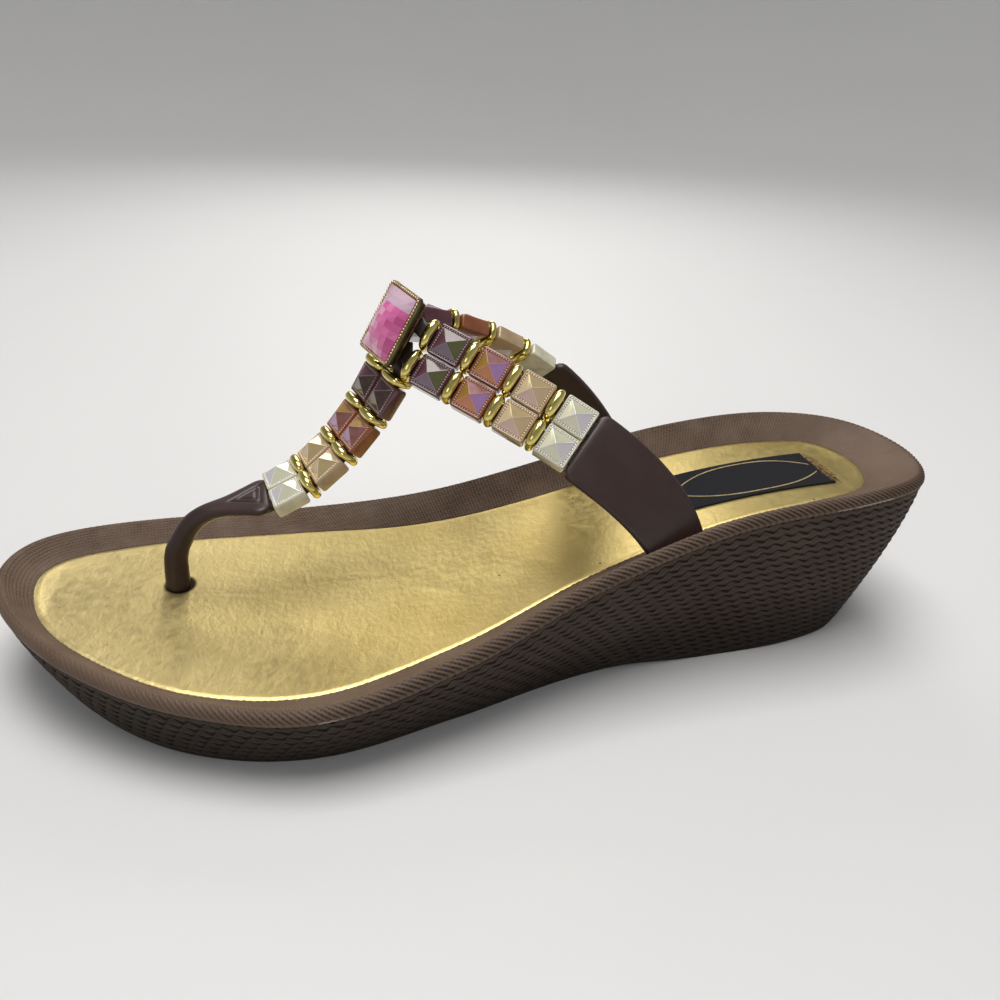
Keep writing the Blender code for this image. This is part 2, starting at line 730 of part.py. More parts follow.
def make_label(finish):
    """A thin woven label that follows the dish of the heel seat."""
    middle = np.array([LABEL_MIDDLE[0] * BALL_WIDTH, LABEL_MIDDLE[1] * LENGTH])
    along = np.array([-math.sin(LABEL_TURN), math.cos(LABEL_TURN)])
    across = np.array([along[1], -along[0]])
    steps_long, steps_wide = 10, 4
    points, faces = [], []
    for level in (GAP, GAP + LABEL_THICKNESS):
        for i in range(steps_long + 1):
            for j in range(steps_wide + 1):
                x, y = (
                    middle
                    + along * LABEL_LENGTH * (i / steps_long - 0.5)
                    + across * LABEL_WIDTH * (j / steps_wide - 0.5)
                )
                points.append((x, y, float(footbed_height(x, y)) + level))
    width = steps_wide + 1
    layer = (steps_long + 1) * width
    for i in range(steps_long):
        for j in range(steps_wide):
            a = i * width + j
            faces.append((a, a + width, a + width + 1, a + 1))
            faces.append((layer + a, layer + a + 1, layer + a + width + 1, layer + a + width))
    border = [j for j in range(width)]
    border += [i * width + steps_wide for i in range(1, steps_long + 1)]
    border += [steps_long * width + j for j in range(steps_wide - 1, -1, -1)]
    border += [i * width for i in range(steps_long - 1, 0, -1)]
    for a, b in zip(border, border[1:] + border[:1]):
        faces.append((a, b, layer + b, layer + a))
    return add_object("heel_label", mesh_of("heel_label", points, faces), finish)


def bead_mesh(name):
    """A square bead with a pyramid on its face and a channel for the cord along Y."""
    w, length = BEAD_WIDTH / 2, BEAD_LENGTH / 2
    hole_w, hole_t = CORE_WIDTH / 2 + CORD_CLEARANCE, CORE_THICKNESS / 2 + CORD_CLEARANCE
    outer = [(w, -BEAD_BELOW), (w, BEAD_ABOVE), (-w, BEAD_ABOVE), (-w, -BEAD_BELOW)]
    inner = [(hole_w, -hole_t), (hole_w, hole_t), (-hole_w, hole_t), (-hole_w, -hole_t)]
    points = []
    for y in (-length, length):
        points += [(x, y, z) for x, z in outer] + [(x, y, z) for x, z in inner]
    faces = []
    for i in range(4):
        nxt = (i + 1) % 4
        faces.append((i, nxt, 4 + nxt, 4 + i))
        faces.append((8 + nxt, 8 + i, 12 + i, 12 + nxt))
        faces.append((4 + i, 4 + nxt, 12 + nxt, 12 + i))
        if i != 1:
            faces.append((nxt, i, 8 + i, 8 + nxt))
    for x, y in ((1, -1), (-1, -1), (-1, 1), (1, 1)):
        points.append((x * (w - BEAD_BORDER), y * (length - BEAD_BORDER), BEAD_ABOVE + PYRAMID_STEP))
    points.append((0, 0, BEAD_ABOVE + PYRAMID_HEIGHT))
    top = (1, 2, 10, 9)
    for i in range(4):
        nxt = (i + 1) % 4
        faces.append((top[nxt], top[i], 16 + i, 16 + nxt))
        faces.append((16 + nxt, 16 + i, 20))
    return closed_mesh(name, points, faces)


def closed_mesh(name, points, faces):
    """A mesh whose faces all point outwards."""
    mesh = mesh_of(name, points, faces)
    shape = bmesh.new()
    shape.from_mesh(mesh)
    bmesh.ops.recalc_face_normals(shape, faces=shape.faces)
    shape.to_mesh(mesh)
    shape.free()
    return mesh


def ring_mesh(name, shift):
    """One ring of a spacer round a carrier cord, lying across Y."""
    wire = RING_WIRE / 2
    half_w, half_t = RING_WIDTH / 2 - wire, RING_HEIGHT / 2 - wire
    points, faces = [], []
    for i in range(RING_STEPS):
        a = 2 * math.pi * i / RING_STEPS
        c, s = math.cos(a), math.sin(a)
        x = math.copysign(abs(c) ** RING_SQUARENESS, c) * half_w
        z = math.copysign(abs(s) ** RING_SQUARENESS, s) * half_t
        out = unit((c / half_w, s / half_t))
        for j in range(RING_SIDES):
            b = 2 * math.pi * j / RING_SIDES
            points.append((
                shift + x + out[0] * math.cos(b) * wire,
                math.sin(b) * wire,
                z + out[1] * math.cos(b) * wire,
            ))
    for i in range(RING_STEPS):
        for j in range(RING_SIDES):
            a, b = i * RING_SIDES, ((i + 1) % RING_STEPS) * RING_SIDES
            k = (j + 1) % RING_SIDES
            faces.append((a + j, b + j, b + k, a + k))
    return closed_mesh(name, points, faces)


def spacer_mesh():
    """Two rings joined side by side."""
    first = add_object("spacer", ring_mesh("spacer", -ROW_OFFSET), None)
    boolean(first, add_object("second_ring", ring_mesh("second_ring", ROW_OFFSET), None), "UNION")
    bake(first)
    mesh = first.data
    bpy.data.objects.remove(first)
    return mesh


def place(item, point, across, along, out):
    """Turns the object so that its X, Y and Z run across, along and out, and moves it there."""
    item.matrix_world = Matrix.Translation(point) @ Matrix((across, along, out)).transposed().to_4x4()


def chord(arm, start, end):
    """The frame at the middle of the straight line between two distances along an arm."""
    first, last = arm.frame(start)[0], arm.frame(end)[0]
    along = unit(last - first)
    across = arm.frame((start + end) / 2)[2]
    across = unit(across - along * (across @ along))
    return (first + last) / 2, along, across, np.cross(across, along)


def make_beads(arm, finishes):
    mesh = {colour: bead_mesh(f"bead_{arm.side}_{colour}") for colour in COLUMNS}
    for n, colour in enumerate(COLUMNS):
        start = bead_place(arm, n) - BEAD_LENGTH / 2
        end = bead_place(arm, n) + BEAD_LENGTH / 2
        for row, letter in enumerate(ROWS):
            side = 1 if row else -1
            ends = []
            for distance in (start, end):
                point, _, across, _ = arm.frame(distance)
                ends.append(point + side * ROW_OFFSET * across)
            along = unit(ends[1] - ends[0])
            _, _, across, _ = arm.frame((start + end) / 2)
            across = unit(across - along * (across @ along))
            bead = add_object(f"bead_{arm.side}_{colour}_{letter}", mesh[colour], finishes[colour])
            place(bead, (ends[0] + ends[1]) / 2, across, along, np.cross(across, along))


def make_spacers(arm, mesh, finish):
    for n in range(len(COLUMNS)):
        middle = ring_place(arm, n)
        point, along, across, out = chord(arm, middle - RING_WIRE / 2, middle + RING_WIRE / 2)
        spacer = add_object(f"spacer_{arm.side}_{n + 1}", mesh, finish, smooth_angle=80)
        place(spacer, point, across, along, out)


def box_ring(x, y, z):
    return [(x, -y, z), (x, y, z), (-x, y, z), (-x, -y, z)]


def tube_faces(levels):
    """Faces of a four-sided tube with closed ends."""
    faces = [(3, 2, 1, 0), tuple(levels * 4 - 4 + i for i in range(4))]
    for r in range(levels - 1):
        for i in range(4):
            nxt = (i + 1) % 4
            faces.append((r * 4 + i, r * 4 + nxt, (r + 1) * 4 + nxt, (r + 1) * 4 + i))
    return faces


def make_bezel(finish):
    """A cast tray with a flared wall and a pocket for the stone."""
    w, length = BEZEL_WIDTH / 2, BEZEL_LENGTH / 2
    points = []
    for depth, inset in BEZEL_STEPS:
        points += box_ring(w - inset, length - inset, -depth * BEZEL_HEIGHT)
    points += box_ring(w - BEZEL_WALL, length - BEZEL_WALL, BEZEL_FLOOR - BEZEL_HEIGHT)
    mesh = closed_mesh("bezel", points, tube_faces(len(BEZEL_STEPS) + 1))
    return add_object("bezel", in_jewel_frame(mesh), finish)


def make_stone(finish):
    """A rectangular stone with a domed crown cut into a checkerboard of facets."""
    half_w = BEZEL_WIDTH / 2 - BEZEL_WALL - GAP
    half_l = BEZEL_LENGTH / 2 - BEZEL_WALL - GAP
    columns, rows = STONE_COLUMNS, STONE_ROWS
    points, faces = [], []
    for i in range(rows + 1):
        for j in range(columns + 1):
            u, v = 2 * j / columns - 1, 2 * i / rows - 1
            height = STONE_CROWN * (1 - abs(u) ** STONE_ROUND) * (1 - abs(v) ** STONE_ROUND)
            points.append((u * half_w, v * half_l, height))
    for i in range(rows):
        for j in range(columns):
            a = i * (columns + 1) + j
            faces.append((a, a + 1, a + columns + 2, a + columns + 1))
    border = list(range(columns + 1))
    border += [i * (columns + 1) + columns for i in range(1, rows + 1)]
    border += [rows * (columns + 1) + j for j in range(columns - 1, -1, -1)]
    border += [i * (columns + 1) for i in range(rows - 1, 0, -1)]
    low = len(points)
    depth = BEZEL_HEIGHT - BEZEL_FLOOR - GAP
    points += [(points[i][0] * STONE_DRAFT, points[i][1] * STONE_DRAFT, -depth) for i in border]
    count = len(border)
    for k in range(count):
        nxt = (k + 1) % count
        faces.append((border[nxt], border[k], low + k, low + nxt))
    faces.append(tuple(low + k for k in range(count)))
    mesh = closed_mesh("stone", points, faces)
    return add_object("stone", in_jewel_frame(mesh), finish)


def clear_scene():
    for item in list(bpy.data.objects):
        bpy.data.objects.remove(item)


def main():
    clear_scene()
    arms = [Arm("lateral", LATERAL_ARM), Arm("medial", MEDIAL_ARM), Arm("centre", CENTRE_ARM)]
    make_sole(arms, material("foam", 0.75))
    make_insole(arms, material("gold_leather", 0.35, 0.8))
    make_label(material("label", 0.8))
    make_upper(arms, material("rubber", 0.45))
    finishes = {colour: material(colour, 0.3) for colour in COLUMNS}
    gold = material("gold", 0.18, 1.0)
    ring = spacer_mesh()
    for arm in arms:
        make_beads(arm, finishes)
        make_spacers(arm, ring, gold)
    make_bezel(material("antique_gold", 0.35, 1.0))
    make_stone(material("pink", 0.08))

    # The origin goes on the floor under the middle of the sole's outline.
    edge = outline(OUTER)
    middle = Vector(((edge[:, 0].max() + edge[:, 0].min()) / 2, LENGTH / 2, 0))
    for item in bpy.data.objects:
        item.location -= middle


main()
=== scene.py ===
"""Looks of the toe post wedge sandal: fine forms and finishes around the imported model.

Shapes are worked out in the last's own axes, as in the part: +Y from the heel to the toe, +X to
the medial side, +Z up, heel back at y = 0. to_frame() then moves each mesh into the row frame.
"""

import math

import bmesh
import bpy
import numpy as np
from mathutils import Matrix, Vector


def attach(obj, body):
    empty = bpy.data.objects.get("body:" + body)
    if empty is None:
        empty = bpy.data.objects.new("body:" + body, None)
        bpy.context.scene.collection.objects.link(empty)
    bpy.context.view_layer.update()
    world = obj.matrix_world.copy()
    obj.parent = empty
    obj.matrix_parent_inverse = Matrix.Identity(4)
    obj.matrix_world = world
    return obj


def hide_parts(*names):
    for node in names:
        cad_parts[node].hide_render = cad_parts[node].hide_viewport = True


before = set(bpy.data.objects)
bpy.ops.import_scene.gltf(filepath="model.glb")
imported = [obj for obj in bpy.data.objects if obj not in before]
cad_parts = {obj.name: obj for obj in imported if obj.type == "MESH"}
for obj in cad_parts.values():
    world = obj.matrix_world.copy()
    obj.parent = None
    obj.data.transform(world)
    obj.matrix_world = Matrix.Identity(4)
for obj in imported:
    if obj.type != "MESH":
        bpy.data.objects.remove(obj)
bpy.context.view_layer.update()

MM = 0.001

# Camera: the photo's own point of view, in the row frame
CAMERA_PLACE = (-191.8 * MM, 48.8 * MM, 161.5 * MM)
CAMERA_YAW = math.radians(-14.71)    # direction of view, from +X towards +Y
CAMERA_PITCH = math.radians(30.29)   # down
CAMERA_ROLL = math.radians(2.84)
CAMERA_LENS = 30.6                   # on a sensor 36 mm wide

# Sole, as in the part
LENGTH = 262 * MM
BALL_WIDTH = 94 * MM
HEEL_HEIGHT = 45.5 * MM
FOREFOOT_HEIGHT = 18.8 * MM
TOE_RISE = 4.2 * MM
TOE_SPRING = 8.0 * MM
ARCH_RISE = 1.2 * MM
RIM_RISE = 6.0 * MM
ROLL_HEIGHT = 3.4 * MM
ROLL_STEP = 0.7 * MM
WALL_BULGE = 1.5
DISH_DEPTH = 1.0 * MM
INSOLE_THICKNESS = 0.8 * MM
GAP = 0.3 * MM
LABEL_LENGTH = 46 * MM
LABEL_WIDTH = 20 * MM
LABEL_THICKNESS = 0.6 * MM
LABEL_TURN = math.radians(9)
LABEL_MIDDLE = (-0.008, 0.203)

# Thong, as in the part
STRAP_RISE = 66 * MM
PLATE_WIDTH = 20.2 * MM
PLATE_THICKNESS = 2.6 * MM
PLATE_TAPER = 0.77
TOE_PLATE_WIDTH = 17.0 * MM
POST_DIAMETER = 6.6 * MM
SOCKET_DEPTH = 8.0 * MM
CORE_WIDTH = 4.2 * MM
CORE_THICKNESS = 2.0 * MM
CORE_INSERT = 4.0 * MM
BEAD_LENGTH = 9.1 * MM
BEAD_WIDTH = 8.8 * MM
BEAD_BELOW = 2.2 * MM
BEAD_ABOVE = 2.0 * MM
PYRAMID_HEIGHT = 2.3 * MM
BEAD_PLAY = 0.45 * MM
RING_WIRE = 2.3 * MM
RING_HEIGHT = 7.4 * MM
RING_JOIN = 0.3 * MM
RING_PITCH = BEAD_LENGTH + RING_WIRE + 2 * BEAD_PLAY
RING_WIDTH = BEAD_WIDTH + GAP + RING_JOIN
ROW_OFFSET = (BEAD_WIDTH + GAP) / 2
BEZEL_LENGTH = 19.4 * MM
BEZEL_WIDTH = 14.2 * MM
BEZEL_HEIGHT = 3.2 * MM
BEZEL_WALL = 1.2 * MM
STONE_CROWN = 2.8 * MM
HUB_LENGTH = 15.0 * MM
HUB_WIDTH = 7.0 * MM
HUB_THICKNESS = 3.0 * MM
JEWEL_YAW = math.radians(27)
JEWEL_TILT = math.radians(29)
JEWEL_ROLL = math.radians(8)
JEWEL_MIDDLE = (0.147, 0.5965, 1.03)
POST_PLACE = (0.112, 0.8275)
COLUMNS = ("purple", "orange", "beige", "white")
ROWS = ("a", "b")

FOOTBED = (
    (0.00, 0.945, 0.00, 0.95),
    (0.10, 1.000, 0.00, 1.00),
    (0.25, 0.918, 0.00, 0.90),
    (0.40, 0.625, 0.00, 0.75),
    (0.55, 0.217, 0.00, 0.60),
    (0.70, 0.000, 0.00, 0.50),
    (0.85, 0.000, 0.10, 0.50),
    (1.00, 0.000, 1.00, 0.55),
)
OUTER = (
    (0.000, 0.01, 0.01),
    (0.035, 0.22, -0.20),
    (0.130, 0.315, -0.295),
    (0.280, 0.335, -0.315),
    (0.430, 0.333, -0.385),
    (0.560, 0.385, -0.485),
    (0.690, 0.450, -0.545),
    (0.810, 0.457, -0.450),
    (0.910, 0.415, -0.270),
    (0.975, 0.320, -0.065),
    (1.000, 0.145, 0.145),
)
GOLD = (
    (0.065, 0.03, 0.03),
    (0.090, 0.175, -0.13),
    (0.160, 0.212, -0.185),
    (0.280, 0.210, -0.217),
    (0.430, 0.183, -0.285),
    (0.570, 0.245, -0.385),
    (0.690, 0.330, -0.442),
    (0.800, 0.350, -0.380),
    (0.900, 0.305, -0.200),
    (0.945, 0.250, -0.060),
    (0.965, 0.130, 0.130),
)
TREAD = (
    (0.070, -0.01, -0.01),
    (0.095, 0.170, -0.180),
    (0.170, 0.255, -0.252),
    (0.300, 0.275, -0.272),
    (0.430, 0.268, -0.290),
    (0.560, 0.310, -0.385),
    (0.690, 0.365, -0.460),
    (0.800, 0.370, -0.405),
    (0.895, 0.325, -0.250),
    (0.938, 0.255, -0.090),
    (0.956, 0.110, 0.110),
)
LATERAL_ARM = (
    (0.145, 0.580, 0.935),
    (-0.074, 0.472, 0.642),
    (-0.321, 0.364, 0.427),
    (-0.267, 0.318, -0.108),
)
MEDIAL_ARM = (
    (0.250, 0.590, 0.985),
    (0.350, 0.500, 0.810),
    (0.405, 0.397, 0.485),
    (0.256, 0.326, -0.100),
)
CENTRE_ARM = (
    (0.185, 0.591, 0.852),
    (0.182, 0.617, 0.642),
    (0.130, 0.670, 0.422),
    (0.112, 0.731, 0.382),
)
TOE_PIECE = (
    (0.000, 1.00, 0.88, 0.42),
    (0.055, 1.00, 1.00, 0.44),
    (0.250, 0.96, 0.79, 0.48),
    (0.470, 0.91, 0.45, 0.60),
    (0.660, 0.84, 0.32, 0.76),
    (0.810, 0.71, 0.31, 0.84),
    (0.920, 0.50, 0.33, 0.90),
    (0.985, 0.26, 0.365, 0.96),
    (1.000, 0.00, 0.385, 1.00),
)
ACROSS = {
    "lateral": ((-0.44, 0.43, -0.78), (-0.28, 0.93, -0.22)),
    "medial": ((-0.62, -0.62, 0.40), (-0.24, -0.94, 0.14)),
    "centre": ((0.91, 0.39, 0.11), (0.99, 0.03, 0.10)),
}
FIRST_RING = {"lateral": 4.6 * MM, "medial": 3.2 * MM, "centre": 3.3 * MM}
HUB_EXITS = {
    "lateral": ((-0.70, -0.42, -0.60), (-0.70, 0.42, -0.60)),
    "medial": ((0.70, 0.42, 0.0), (0.70, -0.42, 0.0)),
    "centre": ((-0.50, 0.80, 0.0), (0.50, 0.80, 0.0)),
}

# Fine forms that only this script adds
KNIT_ROW = 2.55 * MM         # from one strand of the knit to the next
KNIT_WAVE = 4.25 * MM        # length of one wave of a strand
KNIT_SWING = 0.46 * MM       # how far the edge of a strand swings up and down
KNIT_LEAN = 0.26             # share of the second wave that makes one flank of the swing steep
KNIT_LINE = 0.30 * MM        # half height of the line of painted shade over each strand
KNIT_SHADE = 1.0 * MM        # reach of the soft painted shade above that line, and of the painted highlight below it
KNIT_DEPTH = 0.95 * MM
KNIT_STEPS_ALONG = 7         # mesh steps to one wave, and to one strand
KNIT_STEPS_DOWN = 6
KNIT_END = 3.0 * MM          # smooth band above the tread
CREASE_PITCH = 1.75 * MM      # diagonal creases of the rolled edge
CREASE_STEPS = 6
CREASE_DEPTH = 0.7 * MM
CREASE_SLANT = 3.0           # creases passed over the height of the roll
CORE_STEP = 2.2 * MM         # hidden faces between wall and rim start this far inside
CORE_DROP = 3.4 * MM         # and lie this far under the footbed
GOLD_FALL = 0.38 * MM        # the gold sheet turns down this much at its edge
GOLD_FALL_WIDTH = 1.5 * MM
LABEL_EASE = math.radians(6.5)   # the photo's label lies this much straighter than the CAD one
LABEL_SHIFT = 0.6 * MM       # the woven edge is turned under this much on the lateral side
SCRATCHES = ((402.8 * MM, 410.0 * MM), (544.6 * MM, 564.0 * MM))   # along the outline from the heel
FLOOR_RADIUS = 0.9           # flat part of the floor
FLOOR_BEND = 0.8             # radius of its turn into the wall
FLOOR_WALL = 1.6


def smooth(knots, values, at):
    """A cubic through the values, with the slopes of the parabola through each three neighbours."""
    knots = np.asarray(knots, float)
    values = np.asarray(values, float)
    step = np.diff(knots)
    rise = np.diff(values) / step
    slope = np.empty_like(values)
    slope[1:-1] = (rise[:-1] * step[1:] + rise[1:] * step[:-1]) / (step[:-1] + step[1:])
    slope[0] = 2 * rise[0] - slope[1]
    slope[-1] = 2 * rise[-1] - slope[-2]
    at = np.clip(np.asarray(at, float), knots[0], knots[-1])
    i = np.clip(np.searchsorted(knots, at) - 1, 0, len(step) - 1)
    t = (at - knots[i]) / step[i]
    start = (1 + 2 * t) * (1 - t) ** 2 * values[i] + t * (1 - t) ** 2 * step[i] * slope[i]
    end = t * t * (3 - 2 * t) * values[i + 1] - t * t * (1 - t) * step[i] * slope[i + 1]
    return start + end


def footbed_column(column, y):
    table = np.array(FOOTBED)
    return smooth(table[:, 0], table[:, column], np.asarray(y) / LENGTH)


def bed_height(y):
    drop = (HEEL_HEIGHT - FOREFOOT_HEIGHT) * footbed_column(1, y)
    return FOREFOOT_HEIGHT + drop + TOE_RISE * footbed_column(2, y)


def rim_height(y):
    return bed_height(y) + RIM_RISE * footbed_column(3, y)


def tread_height(y):
    share = np.asarray(y) / LENGTH
    arch = np.clip((share - 0.27) / 0.19, 0, 1)
    toe = np.clip((share - 0.74) / 0.20, 0, None)
    return ARCH_RISE * np.sin(math.pi * arch) ** 2 + TOE_SPRING * toe ** 2


def outline(table, at, inset=0.0):
    """Points of a closed outline at angles that run heel, medial side, toe, lateral side."""
    rows = np.array(table)
    first, last = rows[0, 0], rows[-1, 0]
    turn = np.arccos(np.clip(1 - 2 * (rows[:, 0] - first) / (last - first), -1, 1))
    knots = np.concatenate([turn, 2 * math.pi - turn[-2:0:-1]])
    shares = np.concatenate([rows[:, 1], rows[-2:0:-1, 2]])
    knots = np.concatenate([knots - 2 * math.pi, knots, knots + 2 * math.pi])

    def point(angle):
        x = smooth(knots, np.tile(shares, 3), angle) * BALL_WIDTH
        y = (first + (last - first) * (1 - np.cos(angle)) / 2) * LENGTH
        return np.stack([x, y], axis=1)

    ring = point(at)
    if inset:
        nudge = 0.004
        along = point(at + nudge) - point(at - nudge)
        along /= np.linalg.norm(along, axis=1)[:, None]
        ring = ring + inset * np.stack([-along[:, 1], along[:, 0]], axis=1)
    return ring


def cosine_angles(stations):
    return np.arange(2 * stations) * math.pi / stations


def even_angles(count):
    """Angles that divide the outer outline evenly, and the way travelled along it to each."""
    fine = np.linspace(0, 2 * math.pi, 4001)
    steps = np.linalg.norm(np.diff(outline(OUTER, fine), axis=0), axis=1)
    lengths = np.concatenate([[0], np.cumsum(steps)])
    travelled = np.arange(count) / count * lengths[-1]
    return np.interp(travelled, lengths, fine), travelled, lengths[-1]


GOLD_EDGE = outline(GOLD, cosine_angles(200))


def footbed_height(x, y):
    """Height of the gold surface at any point, lower in the middle than at its edges."""
    medial = GOLD_EDGE[:201]
    lateral = np.vstack([GOLD_EDGE[:1], GOLD_EDGE[:199:-1]])
    right = np.interp(y, medial[:, 1], medial[:, 0])
    left = np.interp(y, lateral[:, 1], lateral[:, 0])
    half = np.maximum((right - left) / 2, MM)
    across = np.clip(np.abs(x - (right + left) / 2) / half, 0, 1)
    room = np.clip(2 * half / (0.3 * BALL_WIDTH), 0, 1)
    return bed_height(y) - DISH_DEPTH * room * (1 - across ** 2)


def frame_middle():
    edge = outline(OUTER, cosine_angles(40))
    return np.array([(edge[:, 0].max() + edge[:, 0].min()) / 2, LENGTH / 2, 0.0])


MIDDLE = frame_middle()


class Shape:
    """Points, faces and, where a finish needs them, plane coordinates and relief of a mesh."""

    def __init__(self):
        self.points, self.faces, self.flat, self.relief = [], [], [], []
        self.count = 0

    def add(self, points, flat=None, relief=None):
        points = np.asarray(points, float).reshape(-1, 3)
        start = self.count
        self.points.append(points)
        self.flat.append(np.zeros((len(points), 2)) if flat is None else np.asarray(flat, float))
        self.relief.append(np.ones(len(points)) if relief is None else np.asarray(relief, float))
        self.count += len(points)
        return start

    def grid(self, rows, columns, start, closed=False, flip=False):
        """Quads between rows of points that lie one after the other from start."""
        last = columns if closed else columns - 1
        for r in range(rows - 1):
            for i in range(last):
                a, b = start + r * columns + i, start + r * columns + (i + 1) % columns
                face = (a, b, b + columns, a + columns)
                self.faces.append(face[::-1] if flip else face)

    def mesh(self, name, outward=False):
        mesh = bpy.data.meshes.new(name)
        points = np.vstack(self.points)
        mesh.from_pydata(points.tolist(), [], self.faces)
        layer = mesh.uv_layers.new(name="Plane")
        index = np.empty(len(mesh.loops), np.int32)
        mesh.loops.foreach_get("vertex_index", index)
        layer.data.foreach_set("uv", np.vstack(self.flat)[index].astype(np.float32).ravel())
        relief = mesh.attributes.new("relief", "FLOAT", "POINT")
        relief.data.foreach_set("value", np.concatenate(self.relief).astype(np.float32))
        mesh.validate()
        if outward:
            shape = bmesh.new()
            shape.from_mesh(mesh)
            bmesh.ops.recalc_face_normals(shape, faces=shape.faces)
            shape.to_mesh(mesh)
            shape.free()
        return mesh


def add_piece(name, mesh, finish, nodes, smooth_angle=180.0, matrix=None):
    """Links a piece, moves it from the last's axes into the row frame and fastens it to the body."""
    piece = bpy.data.objects.new(name, mesh)
    bpy.context.scene.collection.objects.link(piece)
    for material in finish if isinstance(finish, (list, tuple)) else [finish]:
        mesh.materials.append(material)
    if smooth_angle:
        mesh.shade_smooth()
        if smooth_angle < 180:
            mesh.set_sharp_from_angle(angle=math.radians(smooth_angle))
    if matrix is None:
        mesh.transform(Matrix.Translation(Vector(-MIDDLE)))
    else:
        piece.matrix_world = Matrix.Translation(Vector(-MIDDLE)) @ matrix
    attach(piece, "root")
    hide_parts(*nodes)
    return piece


class Finish:
    """A node material under construction."""

    def __init__(self, name, colour, rough, metal=0.0, **sockets):
        self.material = bpy.data.materials.new(name)
        self.material.use_nodes = True
        self.tree = self.material.node_tree
        self.shader = self.tree.nodes["Principled BSDF"]
        self.put("Base Color", (*colour, 1))
        self.put("Roughness", rough)
        self.put("Metallic", metal)
        for socket, value in sockets.items():
            self.put(socket.replace("_", " "), value)

    def put(self, socket, value):
        """Sets or links one socket of the surface shader."""
        self.feed(self.shader.inputs[socket], value)

    def feed(self, socket, value):
        if isinstance(value, bpy.types.NodeSocket):
            self.tree.links.new(value, socket)
        else:
            socket.default_value = value

    def node(self, kind, *inputs, **settings):
        made = self.tree.nodes.new("ShaderNode" + kind)
        for key, value in settings.items():
            setattr(made, key, value)
        for socket, value in inputs:
            self.feed(made.inputs[socket], value)
        return made

    def plane(self):
        return self.node("UVMap", uv_map="Plane").outputs["UV"]

    def relief(self):
        return self.node("Attribute", attribute_name="relief").outputs["Fac"]

    def object_place(self, scale=(1, 1, 1)):
        place = self.node("TexCoord").outputs["Object"]
        if scale == (1, 1, 1):
            return place
        return self.node("Mapping", ("Vector", place), ("Scale", scale)).outputs[0]

    def math(self, operation, *values, clamp=False):
        made = self.node("Math", *enumerate(values), operation=operation, use_clamp=clamp)
        return made.outputs[0]

    def split(self, vector):
        return self.node("SeparateXYZ", (0, vector)).outputs

    def noise(self, scale, detail=2.0, rough=0.5, place=None, distortion=0.0):
        place = place or self.object_place()
        made = self.node(
            "TexNoise", ("Vector", place), ("Scale", scale), ("Detail", detail),
            ("Roughness", rough), ("Distortion", distortion),
        )
        return made.outputs[0]

    def cells(self, scale, place=None, feature="F1"):
        made = self.node("TexVoronoi", ("Vector", place or self.object_place()), ("Scale", scale), feature=feature)
        return made.outputs["Distance"]

    def ramp(self, value, *stops):
        """Colours or greys at shares between 0 and 1."""
        made = self.node("ValToRGB", (0, value))
        elements = made.color_ramp.elements
        while len(elements) < len(stops):
            elements.new(0.5)
        for element, (share, colour) in zip(elements, stops):
            element.position = share
            element.color = (colour,) * 3 + (1,) if isinstance(colour, (int, float)) else (*colour, 1)
        return made.outputs[0]

    def mix(self, share, first, second, blend="MIX"):
        made = self.node("Mix", data_type="RGBA", blend_type=blend)
        self.feed(made.inputs[0], share)
        for index, value in ((6, first), (7, second)):
            self.feed(made.inputs[index], value if isinstance(value, bpy.types.NodeSocket) else (*value, 1))
        return made.outputs[2]

    def bump(self, height, distance, strength=1.0, after=None):
        made = self.node("Bump", ("Height", height), ("Distance", distance), ("Strength", strength))
        if after is not None:
            self.feed(made.inputs["Normal"], after)
        return made.outputs[0]

    def within(self, value, low, high):
        above = self.math("GREATER_THAN", value, low)
        return self.math("MULTIPLY", above, self.math("LESS_THAN", value, high))

    def stripes(self, value, pitch):
        """A smooth wave between -1 and 1 with the given pitch."""
        return self.math("SINE", self.math("MULTIPLY", value, 2 * math.pi / pitch))


